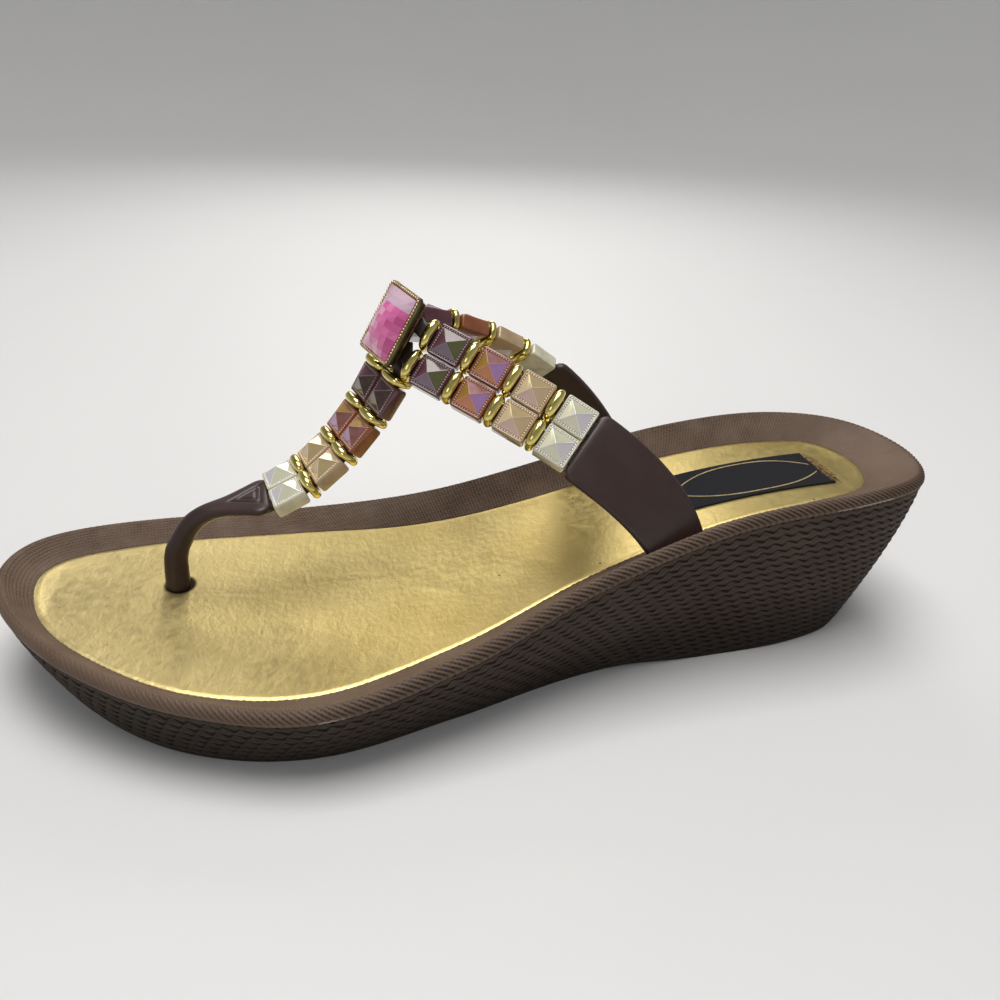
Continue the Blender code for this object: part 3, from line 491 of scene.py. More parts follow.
def foam_finish():
    """Dark brown moulded foam: a wavy line of painted shade over each strand of the knit, with a painted highlight on
    the strand's upper edge, dusty and finely grained.
    """
    finish = Finish("foam", (0.07, 0.048, 0.04), 0.7, Specular_IOR_Level=0.22)
    along, depth = finish.split(finish.plane())[:2]
    line = finish.math("ROUND", finish.math("DIVIDE", depth, KNIT_ROW))
    perimeter = even_angles(8)[2]
    phase = finish.math("MULTIPLY", along, 2 * math.pi * round(perimeter / KNIT_WAVE) / perimeter)
    turn = finish.math("MULTIPLY_ADD", line, math.pi, phase)
    second = finish.math("MULTIPLY", finish.math("SINE", finish.math("MULTIPLY", turn, 2.0)), KNIT_LEAN)
    swing = finish.math("ADD", finish.math("SINE", turn), second)
    offset = finish.math("MULTIPLY_ADD", line, -KNIT_ROW, depth)
    offset = finish.math("MULTIPLY_ADD", swing, KNIT_SWING, offset)
    # A wobble keeps the lines from being all alike.
    wobble = finish.math("MULTIPLY_ADD", finish.noise(330, 2), 0.5 * MM, -0.25 * MM)
    offset = finish.math("ADD", offset, wobble)
    # Painted shade: a thin dark line over each strand and a soft shade above it; just below the line the strand's upper
    # edge gets a painted highlight.
    half = finish.math("MULTIPLY_ADD", finish.math("COSINE", turn), -0.4 * KNIT_LINE, 1.1 * KNIT_LINE)
    thin = finish.math("DIVIDE", finish.math("ABSOLUTE", offset), half)
    thin = finish.math("SUBTRACT", 1.0, thin, clamp=True)
    above = finish.math("MULTIPLY_ADD", offset, 1 / KNIT_SHADE, 1.0)
    above = finish.math("MULTIPLY", above, finish.math("LESS_THAN", offset, 0.0), clamp=True)
    edge = finish.math("MULTIPLY_ADD", offset, -1 / KNIT_SHADE, 1.0)
    edge = finish.math("MULTIPLY", edge, finish.math("GREATER_THAN", offset, KNIT_LINE), clamp=True)
    dark = finish.math("MULTIPLY", thin, 0.9)
    dark = finish.math("MAXIMUM", dark, finish.math("MULTIPLY", above, 0.38))
    dark = finish.math("SUBTRACT", dark, finish.math("MULTIPLY", edge, 0.55))
    dark = finish.math("MULTIPLY", dark, finish.relief())
    dust = finish.noise(1100, 4, 0.7)
    patches = finish.ramp(finish.noise(60, 3, 0.6), (0.35, 0.0), (0.68, 1.0))
    colour = finish.mix(patches, (0.058, 0.038, 0.028), (0.076, 0.053, 0.040))
    soiled = finish.ramp(finish.noise(26, 2), (0.4, 0.0), (0.7, 0.6))
    colour = finish.mix(soiled, colour, (0.058, 0.046, 0.032))
    colour = finish.mix(finish.ramp(dust, (0.6, 0.0), (0.8, 0.3)), colour, (0.12, 0.095, 0.078))
    # The lower part of the wall and the toe are darker, as they turn away from the light.
    height = finish.split(finish.object_place())[2]
    low = finish.ramp(finish.math("DIVIDE", height, HEEL_HEIGHT), (0.0, 0.32), (0.2, 0.42), (0.5, 0.88), (0.8, 1.0))
    colour = finish.mix(1.0, colour, low, "MULTIPLY")
    light = finish.math("SUBTRACT", 1.0, dark)
    finish.put("Base Color", finish.mix(1.0, colour, light, "MULTIPLY"))
    finish.put("Roughness", finish.ramp(dust, (0.3, 0.6), (0.7, 0.78)))
    carved = finish.bump(light, 0.4 * MM, 0.85)
    finish.put("Normal", finish.bump(finish.noise(2600, 3, 0.6), 0.12 * MM, 0.6, carved))
    return finish.material


def rim_finish():
    """The rim's foam: creases on the roll darkened with painted shade, fine ribs and rows of dots on the rim's top with
    painted shade between them and painted highlights on them.
    """
    finish = Finish("rim_foam", (0.1, 0.07, 0.06), 0.66, Specular_IOR_Level=0.3)
    along, across = finish.split(finish.plane())[:2]
    lean = finish.math("ADD", along, finish.math("MULTIPLY", across, 0.45))
    ribs = finish.stripes(lean, 0.95 * MM)
    rows = finish.stripes(across, 1.0 * MM)
    both = finish.math("MULTIPLY_ADD", rows, 0.35, finish.math("MULTIPLY", ribs, 0.65))
    wear = finish.noise(120, 3, 0.6)
    fade = finish.ramp(wear, (0.3, 0.35), (0.7, 1.0))
    on_top = finish.ramp(finish.math("MULTIPLY", across, 1 / (12 * MM)), (0.30, 0.0), (0.42, 1.0))
    length = finish.math("MULTIPLY_ADD", finish.split(finish.object_place())[1], 1 / LENGTH, 0.5)
    on_top = finish.math("MULTIPLY", on_top, finish.ramp(length, (0.05, 0.2), (0.2, 1.0)))
    side = finish.math("MULTIPLY_ADD", finish.split(finish.object_place())[0], 1 / BALL_WIDTH, 0.5)
    on_top = finish.math("MULTIPLY", on_top, finish.ramp(side, (0.25, 0.3), (0.6, 1.0)))
    height = finish.math("MULTIPLY", finish.math("MULTIPLY", both, fade), on_top)
    mottle = finish.noise(50, 3, 0.6)
    colour = finish.mix(
        finish.ramp(mottle, (0.3, 0.0), (0.72, 1.0)), (0.116, 0.071, 0.046), (0.150, 0.098, 0.066)
    )
    # Painted shade in the hollows between the ribs and dots, and painted highlights on their crests.
    dots = finish.ramp(finish.math("MULTIPLY_ADD", height, 0.5, 0.5), (0.05, 0.36), (0.45, 0.95), (0.9, 1.15))
    colour = finish.mix(1.0, colour, dots, "MULTIPLY")
    # Painted shade in the creases of the roll, following the relief of the mesh.
    shade = finish.ramp(finish.relief(), (0.0, 0.0), (0.62, 0.3), (0.95, 1.0))
    colour = finish.mix(1.0, colour, shade, "MULTIPLY")
    worn = finish.ramp(finish.noise(420, 3, 0.7), (0.38, 0.0), (0.46, 0.85))
    for start, end in SCRATCHES:
        here = finish.math("MULTIPLY", finish.within(along, start, end), finish.within(across, 1.1 * MM, 1.5 * MM))
        colour = finish.mix(finish.math("MULTIPLY", here, worn), colour, (0.42, 0.36, 0.31))
    finish.put("Base Color", colour)
    finish.put("Roughness", finish.ramp(wear, (0.3, 0.5), (0.7, 0.66)))
    ribbed = finish.bump(height, 0.22 * MM, 0.9)
    finish.put("Normal", finish.bump(finish.noise(2200, 3, 0.6), 0.08 * MM, 0.5, ribbed))
    return finish.material


def gold_leather_finish():
    """Metallic gold leatherette: soft dents, fine wrinkles and pebbling, specks and a little dirt."""
    finish = Finish("gold_leather", (0.62, 0.47, 0.18), 0.4, 1.0)
    speck = finish.cells(190)
    colour = finish.mix(
        finish.ramp(finish.noise(38, 3, 0.55), (0.3, 0.0), (0.7, 1.0)), (0.52, 0.40, 0.145), (0.64, 0.51, 0.21)
    )
    length = finish.math("MULTIPLY_ADD", finish.split(finish.object_place())[1], 1 / LENGTH, 0.5)
    # Painted light: the gold turns paler towards the toe, where more light falls on it.
    painted_toe_light = finish.ramp(length, (0.62, 0.0), (0.92, 0.55))
    colour = finish.mix(painted_toe_light, colour, (0.78, 0.64, 0.33))
    few = finish.ramp(finish.noise(75), (0.58, 0.0), (0.62, 1.0))
    spots = finish.math("MULTIPLY", finish.ramp(speck, (0.03, 1.0), (0.10, 0.0)), few)
    colour = finish.mix(spots, colour, (0.16, 0.1, 0.04))
    dirt = finish.ramp(finish.noise(900, 4, 0.7), (0.62, 0.0), (0.78, 0.35))
    colour = finish.mix(dirt, colour, (0.30, 0.21, 0.075))
    # The post goes through a punched hole; its edge shows dark, and a painted contact shadow spreads from it, more so
    # towards the heel.
    hole_and_shadow_middle = (POST_PLACE[0] * BALL_WIDTH - MIDDLE[0], POST_PLACE[1] * LENGTH - MIDDLE[1] - 0.5 * MM)
    x, y = finish.split(finish.object_place())[:2]
    away = finish.math("ABSOLUTE", finish.math("SUBTRACT", x, hole_and_shadow_middle[0]))
    ahead = finish.math("SUBTRACT", y, hole_and_shadow_middle[1])
    square = finish.math("MULTIPLY_ADD", away, away, finish.math("MULTIPLY", ahead, ahead))
    reach = finish.math("DIVIDE", finish.math("SQRT", square), 2 * POST_DIAMETER)
    finish.put("Base Color", finish.mix(finish.ramp(reach, (0.29, 1.0), (0.36, 0.0)), colour, (0.03, 0.018, 0.008)))
    finish.put("Roughness", finish.ramp(finish.noise(420, 3, 0.6), (0.3, 0.36), (0.7, 0.46)))
    wide = finish.noise(60, 2, 0.5, finish.object_place((1.0, 0.55, 1.0)), 0.8)
    wrinkles = finish.noise(300, 4, 0.6, finish.object_place((0.6, 1.0, 1.0)), 1.2)
    first = finish.bump(wide, 1.4 * MM, 0.28)
    second = finish.bump(wrinkles, 0.4 * MM, 0.2, first)
    third = finish.bump(finish.noise(620, 3, 0.55), 0.16 * MM, 0.45, second)
    finish.put("Normal", finish.bump(finish.noise(1500, 2, 0.5), 0.06 * MM, 0.5, third))
    return finish.material


def rubber_finish():
    """Smooth dark brown rubber, satin, with faint smears and a few pale specks."""
    finish = Finish("rubber", (0.052, 0.033, 0.031), 0.38, Specular_IOR_Level=0.4)
    smear = finish.ramp(finish.noise(60, 4, 0.65), (0.35, 0.0), (0.7, 1.0))
    colour = finish.mix(smear, (0.033, 0.018, 0.016), (0.046, 0.026, 0.023))
    speck = finish.ramp(finish.cells(140), (0.0, 1.0), (0.035, 0.0))
    finish.put("Base Color", finish.mix(finish.math("MULTIPLY", speck, 0.5), colour, (0.4, 0.35, 0.3)))
    finish.put("Roughness", finish.ramp(finish.noise(180, 4, 0.6), (0.3, 0.32), (0.75, 0.46)))
    finish.put("Normal", finish.bump(finish.noise(900, 3, 0.5), 0.05 * MM, 0.35))
    return finish.material


def label_finish():
    """Black woven satin: fine twill lines."""
    finish = Finish("woven_black", (0.017, 0.017, 0.02), 0.8, Specular_IOR_Level=0.08)
    along, across = finish.split(finish.plane())[:2]
    twill = finish.stripes(finish.math("MULTIPLY_ADD", along, 0.8, across), 0.75 * MM)
    warp = finish.stripes(across, 0.3 * MM)
    both = finish.math("MULTIPLY_ADD", twill, 0.4, finish.math("MULTIPLY_ADD", warp, 0.1, 0.5))
    finish.put("Base Color", finish.ramp(both, (0.1, (0.002, 0.002, 0.003)), (0.9, (0.030, 0.030, 0.034))))
    finish.put("Normal", finish.bump(both, 0.1 * MM, 0.8))
    return finish.material


def loose_thread_finish():
    """Brown warp threads that hang out of the label's end."""
    finish = Finish("loose_thread", (0.12, 0.06, 0.03), 0.7)
    shades = finish.ramp(finish.noise(900), (0.35, (0.05, 0.022, 0.012)), (0.65, (0.30, 0.17, 0.08)))
    finish.put("Base Color", shades)
    finish.put("Normal", finish.bump(finish.noise(4000), 0.05 * MM, 0.6))
    return finish.material


def thread_finish():
    finish = Finish("gold_thread", (0.55, 0.42, 0.2), 0.5, 0.3)
    along = finish.split(finish.plane())[0]
    finish.put("Normal", finish.bump(finish.stripes(along, 0.5 * MM), 0.1 * MM, 0.8))
    finish.put("Base Color", finish.ramp(finish.noise(700), (0.3, (0.42, 0.31, 0.14)), (0.7, (0.66, 0.52, 0.27))))
    return finish.material


def plated_finish():
    """Polished gold plating."""
    finish = Finish("gold_plating", (0.82, 0.62, 0.20), 0.1, 1.0)
    finish.put("Roughness", finish.ramp(finish.noise(500, 3, 0.6), (0.35, 0.05), (0.75, 0.16)))
    tone = finish.ramp(finish.noise(160, 2), (0.35, 0.0), (0.7, 1.0))
    finish.put("Base Color", finish.mix(tone, (0.83, 0.72, 0.26), (0.66, 0.54, 0.15)))
    finish.put("Normal", finish.bump(finish.noise(350, 2), 0.05 * MM, 0.5))
    return finish.material


def antique_finish():
    """Cast antique gold, darkened with painted shade in its hollows and down its side wall."""
    finish = Finish("antique_gold", (0.4, 0.3, 0.12), 0.35, 1.0)
    tones = finish.ramp(finish.noise(400, 3), (0.35, 0.0), (0.7, 1.0))
    bright = finish.mix(tones, (0.46, 0.35, 0.14), (0.74, 0.58, 0.36))
    # From the crests of the milgrain (0) down to the foot of the tray (1).
    height = finish.split(finish.object_place())[2]
    down = finish.math("MULTIPLY_ADD", height, -1 / (3.6 * MM), 0.4 / 3.6)
    # Painted shade: full tone on the milgrain's crests, darker over the lip, darkest down the wall and in the pocket, a
    # little lighter at the foot of the tray.
    shade = finish.ramp(down, (0.05, 1.0), (0.1, 0.42), (0.2, 0.3), (0.3, 0.1), (0.82, 0.1), (0.94, 0.5))
    finish.put("Base Color", finish.mix(1.0, bright, shade, "MULTIPLY"))
    finish.put("Roughness", finish.ramp(finish.noise(700, 3), (0.3, 0.22), (0.7, 0.42)))
    return finish.material


# Body colour and the colours of the facets towards +X, -X, +Y and -Y of each kind of bead; the facet colours add
# painted light and shade, by the way each facet faces, to the beads' iridescent coat
BEAD_COLOURS_AND_FACET_LIGHT = {
    "white": ((0.70, 0.67, 0.50), (0.74, 0.72, 0.56), (0.60, 0.60, 0.40), (0.70, 0.63, 0.70), (0.78, 0.76, 0.62)),
    "beige": ((0.50, 0.36, 0.21), (0.70, 0.47, 0.43), (0.42, 0.33, 0.16), (0.58, 0.42, 0.25), (0.64, 0.53, 0.34)),
    "orange": ((0.28, 0.085, 0.028), (0.62, 0.23, 0.10), (0.22, 0.08, 0.015), (0.42, 0.22, 0.56), (0.30, 0.19, 0.03)),
    "purple": ((0.105, 0.028, 0.038), (0.20, 0.15, 0.21), (0.045, 0.01, 0.018), (0.10, 0.12, 0.03), (0.11, 0.03, 0.05)),
}


def bead_finishes(colour):
    """The bead's moulded body, its milgrain and its iridescent facets, whose colours also carry painted light and
    shade.
    """
    body, *facets = BEAD_COLOURS_AND_FACET_LIGHT[colour]
    shell = Finish(f"bead_{colour}", body, 0.22, Coat_Weight=0.6, Coat_Roughness=0.06)
    dark = tuple(0.72 * c for c in body)
    shell.put("Base Color", shell.mix(shell.ramp(shell.noise(300, 3), (0.35, 0.0), (0.7, 1.0)), body, dark))
    dots = Finish(f"milgrain_{colour}", tuple(min(0.88, 1.25 * c + 0.24) for c in body), 0.25, 0.2)
    dots.put("Roughness", dots.ramp(dots.noise(900, 2), (0.3, 0.14), (0.7, 0.3)))
    gems = []
    # Each facet's colour carries painted light and shade for the way it faces.
    for number, facet_tint_and_light in enumerate(facets):
        gem = Finish(f"facet_{colour}_{number}", facet_tint_and_light, 0.2, 0.25, Coat_Weight=0.7, Coat_Roughness=0.1)
        drift = gem.noise(160, 2, 0.5, None, 0.6)
        other = facets[(number + 1) % 4]
        shifted = tuple(0.6 * a + 0.4 * b for a, b in zip(facet_tint_and_light, other))
        gem.put("Base Color", gem.mix(gem.ramp(drift, (0.3, 0.0), (0.7, 1.0)), facet_tint_and_light, shifted))
        gems.append(gem.material)
    return [shell.material, dots.material, *gems]


def stone_finish():
    """Pink glass stone; each facet has its own shade, which carries painted light across the stone; the top of the ramp
    is the grey of a painted reflection.
    """
    finish = Finish(
        "pink_stone", (0.75, 0.16, 0.4), 0.05, Coat_Weight=1.0, Coat_Roughness=0.02, Transmission_Weight=0.08, IOR=1.55
    )
    shade = finish.node("Attribute", attribute_name="shade").outputs["Fac"]
    colour = finish.ramp(shade, (0.0, (0.56, 0.07, 0.26)), (0.45, (0.82, 0.19, 0.45)), (0.8, (0.96, 0.60, 0.77)), (1.0, (0.62, 0.44, 0.54)))
    finish.put("Base Color", colour)
    return finish.material


def floor_finish():
    finish = Finish("floor", (0.78, 0.77, 0.765), 0.5)
    finish.put("Base Color", finish.mix(finish.noise(3, 2), (0.66, 0.655, 0.65), (0.70, 0.695, 0.69)))
    return finish.material


def wall_point_table(at, samples=240):
    """The smooth side wall at each angle: points from the parting line down, and depths to them."""
    top = outline(OUTER, at, ROLL_STEP)
    tread = outline(TREAD, at)
    parting = rim_height(outline(OUTER, at)[:, 1]) - ROLL_HEIGHT
    floor = tread_height(tread[:, 1])
    rings = []
    for share in np.linspace(1, 0, samples):
        flat = tread + (top - tread) * (1 - (1 - share) ** WALL_BULGE)
        rings.append(np.column_stack([flat, floor + (parting - floor) * share]))
    rings = np.array(rings)
    steps = np.linalg.norm(np.diff(rings, axis=0), axis=2)
    depth = np.concatenate([np.zeros((1, len(at))), np.cumsum(steps, axis=0)])
    along = np.roll(rings, -1, axis=1) - np.roll(rings, 1, axis=1)
    normals = np.cross(along, -np.gradient(rings, axis=0))
    return rings, depth, normals / np.linalg.norm(normals, axis=2)[:, :, None]


def grid_normals(rings):
    """Outward normals of rings of points that run round counter-clockwise and upwards."""
    along = np.roll(rings, -1, axis=1) - np.roll(rings, 1, axis=1)
    up = np.gradient(rings, axis=0)
    normals = np.cross(along, up)
    return normals / np.linalg.norm(normals, axis=2)[:, :, None]


def knit_height(phase, depth):
    """Relief of wavy strands: each is steep along its upper edge and falls away below it."""
    lines = np.arange(int(depth.max() / KNIT_ROW) + 3)
    turn = phase + math.pi * lines
    edge = lines * KNIT_ROW - KNIT_SWING * (np.sin(turn) + KNIT_LEAN * np.sin(2 * turn))
    upper = np.clip(np.searchsorted(edge, depth, side="right") - 1, 0, len(lines) - 2)
    share = np.clip((depth - edge[upper]) / (edge[upper + 1] - edge[upper]), 0, 1)
    climb = np.clip(share / 0.3, 0, 1) ** 0.6
    fall = 0.35 + 0.65 * np.clip((1 - share) / 0.6, 0, 1) ** 0.8
    return climb * fall


def fill_ring(shape, ring, points, columns, height, upward):
    """Fills a ring from side to side with strips whose height follows a function."""
    count = len(ring)
    half = count // 2
    rows = [[ring[0]] * (columns + 1)]
    for j in range(1, half):
        right, left = points[j], points[count - j]
        share = (np.arange(1, columns) / columns)[:, None]
        inner = right[:2] + (left[:2] - right[:2]) * share
        level = height(inner[:, 0], inner[:, 1])
        first = shape.add(np.column_stack([inner, level]), inner, np.zeros(columns - 1))
        rows.append([ring[j], *range(first, first + columns - 1), ring[count - j]])
    rows.append([ring[half]] * (columns + 1))
    for low, high in zip(rows, rows[1:]):
        for k in range(columns):
            face = list(dict.fromkeys((low[k], high[k], high[k + 1], low[k + 1])))
            shape.faces.append(face if upward else face[::-1])


def cap_strips(shape, start, count, columns, height, upward):
    """Fills the ring of points that starts at the given number."""
    points = np.vstack(shape.points)[start:start + count]
    fill_ring(shape, list(range(start, start + count)), points, columns, height, upward)


def make_wall(finish):
    """The side wall, moulded like a coarse knit of wavy strands, and the tread under it."""
    perimeter = even_angles(8)[2]
    waves = round(perimeter / KNIT_WAVE)
    count = waves * KNIT_STEPS_ALONG
    at, travelled, _ = even_angles(count)
    surface, reach, normals = wall_point_table(at)
    step = KNIT_ROW / KNIT_STEPS_DOWN
    shape = Shape()
    columns = []
    for i in range(count):
        total = reach[-1, i]
        depth = np.append(np.arange(0, total - 0.4 * step, step), total)
        point = np.column_stack([np.interp(depth, reach[:, i], surface[:, i, k]) for k in range(3)])
        normal = np.column_stack([np.interp(depth, reach[:, i], normals[:, i, k]) for k in range(3)])
        relief = knit_height(2 * math.pi * waves * travelled[i] / perimeter, depth)
        fade = np.clip(depth / (0.4 * MM), 0, 1) * np.clip((total - depth) / KNIT_END, 0, 1) ** 0.7
        point += normal * (KNIT_DEPTH * (relief - 0.7) * fade)[:, None]
        flat = np.column_stack([np.full(len(depth), travelled[i]), depth])
        start = shape.add(point, flat, fade)
        columns.append((start, len(depth)))
    for i in range(count):
        start, rows = columns[i]
        other, other_rows = columns[(i + 1) % count]
        for k in range(max(rows, other_rows) - 1):
            a, b = start + min(k, rows - 1), start + min(k + 1, rows - 1)
            c, d = other + min(k + 1, other_rows - 1), other + min(k, other_rows - 1)
            shape.faces.append(tuple(dict.fromkeys((a, b, c, d))))
    points = np.vstack(shape.points)
    foot = [start + rows - 1 for start, rows in columns]
    top = [start for start, _ in columns]
    fill_ring(shape, foot, points[foot], 3, lambda x, y: tread_height(y), upward=False)
    inner = outline(OUTER, at, ROLL_STEP + CORE_STEP)
    drop = np.minimum(bed_height(inner[:, 1]) - CORE_DROP, points[top][:, 2] - GAP)
    inner = np.column_stack([inner, drop])
    core = shape.add(inner, inner[:, :2])
    for i in range(count):
        nxt = (i + 1) % count
        shape.faces.append((top[i], top[nxt], core + nxt, core + i))
    ring = [core + i for i in range(count)]
    fill_ring(shape, ring, inner, 4, lambda x, y: bed_height(y) - CORE_DROP, upward=True)
    return add_piece("sole_wall", shape.mesh("sole_wall"), finish, ["sole"])


def make_rim(finish):
    """The rolled edge with its diagonal creases, and the ribbed rim that runs in to the gold."""
    perimeter = even_angles(8)[2]
    creases = round(perimeter / CREASE_PITCH)
    count = creases * CREASE_STEPS
    at, travelled, _ = even_angles(count)
    outer = outline(OUTER, at)
    parting = rim_height(outer[:, 1]) - ROLL_HEIGHT
    rim = rim_height(outer[:, 1])
    low = parting + 0.3 * ROLL_HEIGHT
    under = np.column_stack([outline(OUTER, at, ROLL_STEP + 0.5 * MM), parting + 0.02 * MM])
    rings = [under, np.column_stack([outline(OUTER, at, 0.25 * MM), parting + 0.05 * MM])]
    turns = np.linspace(0, 1, 13)
    for turn in turns:
        angle = turn * math.pi / 2
        inset = outline(OUTER, at, (1 - math.cos(angle)) * ROLL_HEIGHT * 0.7)
        rings.append(np.column_stack([inset, low + (rim - low) * math.sin(angle)]))
    top = rings[-1]
    inner = outline(GOLD, at)
    edge = bed_height(inner[:, 1]) - GOLD_FALL + 0.1 * MM
    shares = np.linspace(0, 1, 19)[1:]
    for share in shares:
        flat = top[:, :2] + (inner - top[:, :2]) * share
        rings.append(np.column_stack([flat, top[:, 2] + (edge - top[:, 2]) * (1 - (1 - share) ** 1.3)]))
    rings = np.array(rings)
    normals = grid_normals(rings)
    normals[0] = 0
    # Way round the roll from the parting line: 0 there, 1 on top, and on over the rim.
    way = np.concatenate([[0, 0.02], 0.05 + 0.95 * turns, 1 + shares * 3.2])[:, None]
    phase = creases * travelled / perimeter + CREASE_SLANT * way
    lump = np.abs(np.sin(math.pi * phase)) ** 0.45
    # The creases run out near the toe's tip, as on the moulded edge.
    fading = 0.28 + 0.72 * np.clip((0.88 - outer[:, 1] / LENGTH) / 0.25, 0, 1)
    share = np.clip(way / 0.08, 0, 1) * np.clip((1.2 - way) / 0.45, 0, 1) * fading
    rings = rings + normals * ((lump - 1) * share * CREASE_DEPTH)[:, :, None]
    relief = 1 + (lump - 1) * share
    wander = 0.10 * MM * np.sin(2 * math.pi * travelled / (1.9 * MM)) + 0.07 * MM * np.sin(
        2 * math.pi * travelled / (5.3 * MM)
    )
    rings[-1, :, 2] += wander
    down = rings[-1] - np.array([0, 0, 2.0 * MM])
    rings = np.concatenate([rings, down[None]])
    relief = np.concatenate([relief, np.full((1, count), 0.2)])
    steps = np.linalg.norm(np.diff(rings, axis=0), axis=2)
    climbed = np.concatenate([np.zeros((1, count)), np.cumsum(steps, axis=0)])
    shape = Shape()
    flat = np.stack([np.broadcast_to(travelled, climbed.shape), climbed], axis=2)
    start = shape.add(rings.reshape(-1, 3), flat.reshape(-1, 2), relief.ravel())
    shape.grid(len(rings), count, start, closed=True)
    last = start + (len(rings) - 1) * count
    cap_strips(shape, last, count, 8, lambda x, y: footbed_height(x, y) - 1.4 * MM, upward=True)
    inner = outline(OUTER, at, ROLL_STEP + CORE_STEP + 0.6 * MM)
    below = np.minimum(bed_height(inner[:, 1]) - CORE_DROP + GAP, rings[0, :, 2])
    inner = np.column_stack([inner, below])
    core = shape.add(inner, inner[:, :2])
    for i in range(count):
        nxt = (i + 1) % count
        shape.faces.append((core + i, core + nxt, start + nxt, start + i))
    cap_strips(shape, core, count, 6, lambda x, y: bed_height(y) - CORE_DROP + GAP, upward=False)
    return add_piece("sole_rim", shape.mesh("sole_rim"), finish, ["sole"])


def make_insole(finish):
    """The gold sheet, dished, with its edge turned down against the rim."""
    stations = 260
    at = cosine_angles(stations)
    count = 2 * stations

    def ring(inset, rise):
        flat = outline(GOLD, at, inset)
        return np.column_stack([flat, footbed_height(flat[:, 0], flat[:, 1]) + rise])

    shape = Shape()
    levels = [(0.4 * MM, -INSOLE_THICKNESS), (-0.05 * MM, -INSOLE_THICKNESS), (-0.05 * MM, -GOLD_FALL - 0.1 * MM)]
    for share in (0.0, 0.12, 0.25, 0.4, 0.6, 0.8, 1.0):
        levels.append((GOLD_FALL_WIDTH * share, -GOLD_FALL * (1 - share) ** 2))
    for inset, rise in levels:
        points = ring(inset, rise)
        shape.add(points, points[:, :2])
    shape.grid(len(levels), count, 0, closed=True)
    cap_strips(shape, 0, count, 4, lambda x, y: footbed_height(x, y) - INSOLE_THICKNESS, upward=False)
    cap_strips(shape, (len(levels) - 1) * count, count, 70, footbed_height, upward=True)
    return add_piece("insole_sheet", shape.mesh("insole_sheet"), finish, ["insole"])


def strap_point(x_share, y_share, rise_share):
    y = y_share * LENGTH
    return np.array([x_share * BALL_WIDTH, y, float(bed_height(y)) + rise_share * STRAP_RISE])


def unit(vector):
    return np.asarray(vector, float) / np.linalg.norm(vector)


class Arm:
    """The middle line of one arm of the thong, with its direction and the way across it."""

    def __init__(self, side, table):
        self.side = side
        control = np.array([strap_point(*row) for row in table])
        t = np.linspace(0, 1, 201)[:, None]
        self.points = (
            (1 - t) ** 3 * control[0]
            + 3 * (1 - t) ** 2 * t * control[1]
            + 3 * (1 - t) * t * t * control[2]
            + t ** 3 * control[3]
        )
        steps = np.linalg.norm(np.diff(self.points, axis=0), axis=1)
        self.lengths = np.concatenate([[0], np.cumsum(steps)])
        self.length = self.lengths[-1]

    def frame(self, distance):
        """Point, direction along, direction across and direction out at a distance along the arm."""
        point = np.array([np.interp(distance, self.lengths, self.points[:, i]) for i in range(3)])
        if distance > self.length:
            point = point + (distance - self.length) * unit(self.points[-1] - self.points[-2])
        slope = np.gradient(self.points, self.lengths, axis=0)
        along = unit([np.interp(distance, self.lengths, slope[:, i]) for i in range(3)])
        first, last = (np.array(end) for end in ACROSS[self.side])
        share = min(max(distance / self.length, 0), 1)
        across = first * (1 - share) + last * share
        across = unit(across - along * (across @ along))
        return point, along, across, np.cross(across, along)


def ring_place(arm, number):
    return FIRST_RING[arm.side] + number * RING_PITCH


def bead_place(arm, number):
    return ring_place(arm, number) + RING_PITCH / 2


def plate_start(arm):
    return bead_place(arm, len(COLUMNS) - 1) + BEAD_LENGTH / 2 + BEAD_PLAY


def rounded_section(width, thickness, radius, turns=5):
    """A flat section with round corners."""
    radius = min(radius, 0.499 * thickness, 0.499 * width)
    corners = []
    for quarter, (a, b) in enumerate(((1, 1), (-1, 1), (-1, -1), (1, -1))):
        for k in range(turns + 1):
            angle = (quarter + k / turns) * math.pi / 2
            corners.append((
                a * (width / 2 - radius) + radius * math.cos(angle),
                b * (thickness / 2 - radius) + radius * math.sin(angle),
            ))
    return np.array(corners)


def oval(width, thickness, sides):
    """A section between a flat bar and a round rod, with its points spread evenly round it."""
    flat = min(max(1 - thickness / width, 0), 1)
    power = 1 - 0.5 * flat
    a = np.linspace(0, 2 * math.pi, 721)
    c, s = np.cos(a), np.sin(a)
    curve = np.stack([
        np.copysign(np.abs(c) ** power, c) * width / 2, np.copysign(np.abs(s) ** power, s) * thickness / 2
    ], axis=1)
    lengths = np.concatenate([[0], np.cumsum(np.linalg.norm(np.diff(curve, axis=0), axis=1))])
    even = np.arange(sides) / sides * lengths[-1]
    return np.stack([np.interp(even, lengths, curve[:, i]) for i in range(2)], axis=1)


def sweep(name, stations):
    """A closed solid through sections: each station has a point, two axes and its corners."""
    shape = Shape()
    travelled = 0.0
    for k, (point, across, out, section) in enumerate(stations):
        if k:
            travelled += np.linalg.norm(point - stations[k - 1][0])
        points = point + section[:, :1] * across + section[:, 1:] * out
        shape.add(points, np.column_stack([np.full(len(section), travelled), section[:, 0]]))
    count = len(stations[0][3])
    shape.grid(len(stations), count, 0, closed=True)
    shape.faces.append(tuple(range(count)))
    shape.faces.append(tuple(range(shape.count - 1, shape.count - count - 1, -1)))
    return shape.mesh(name, outward=True)


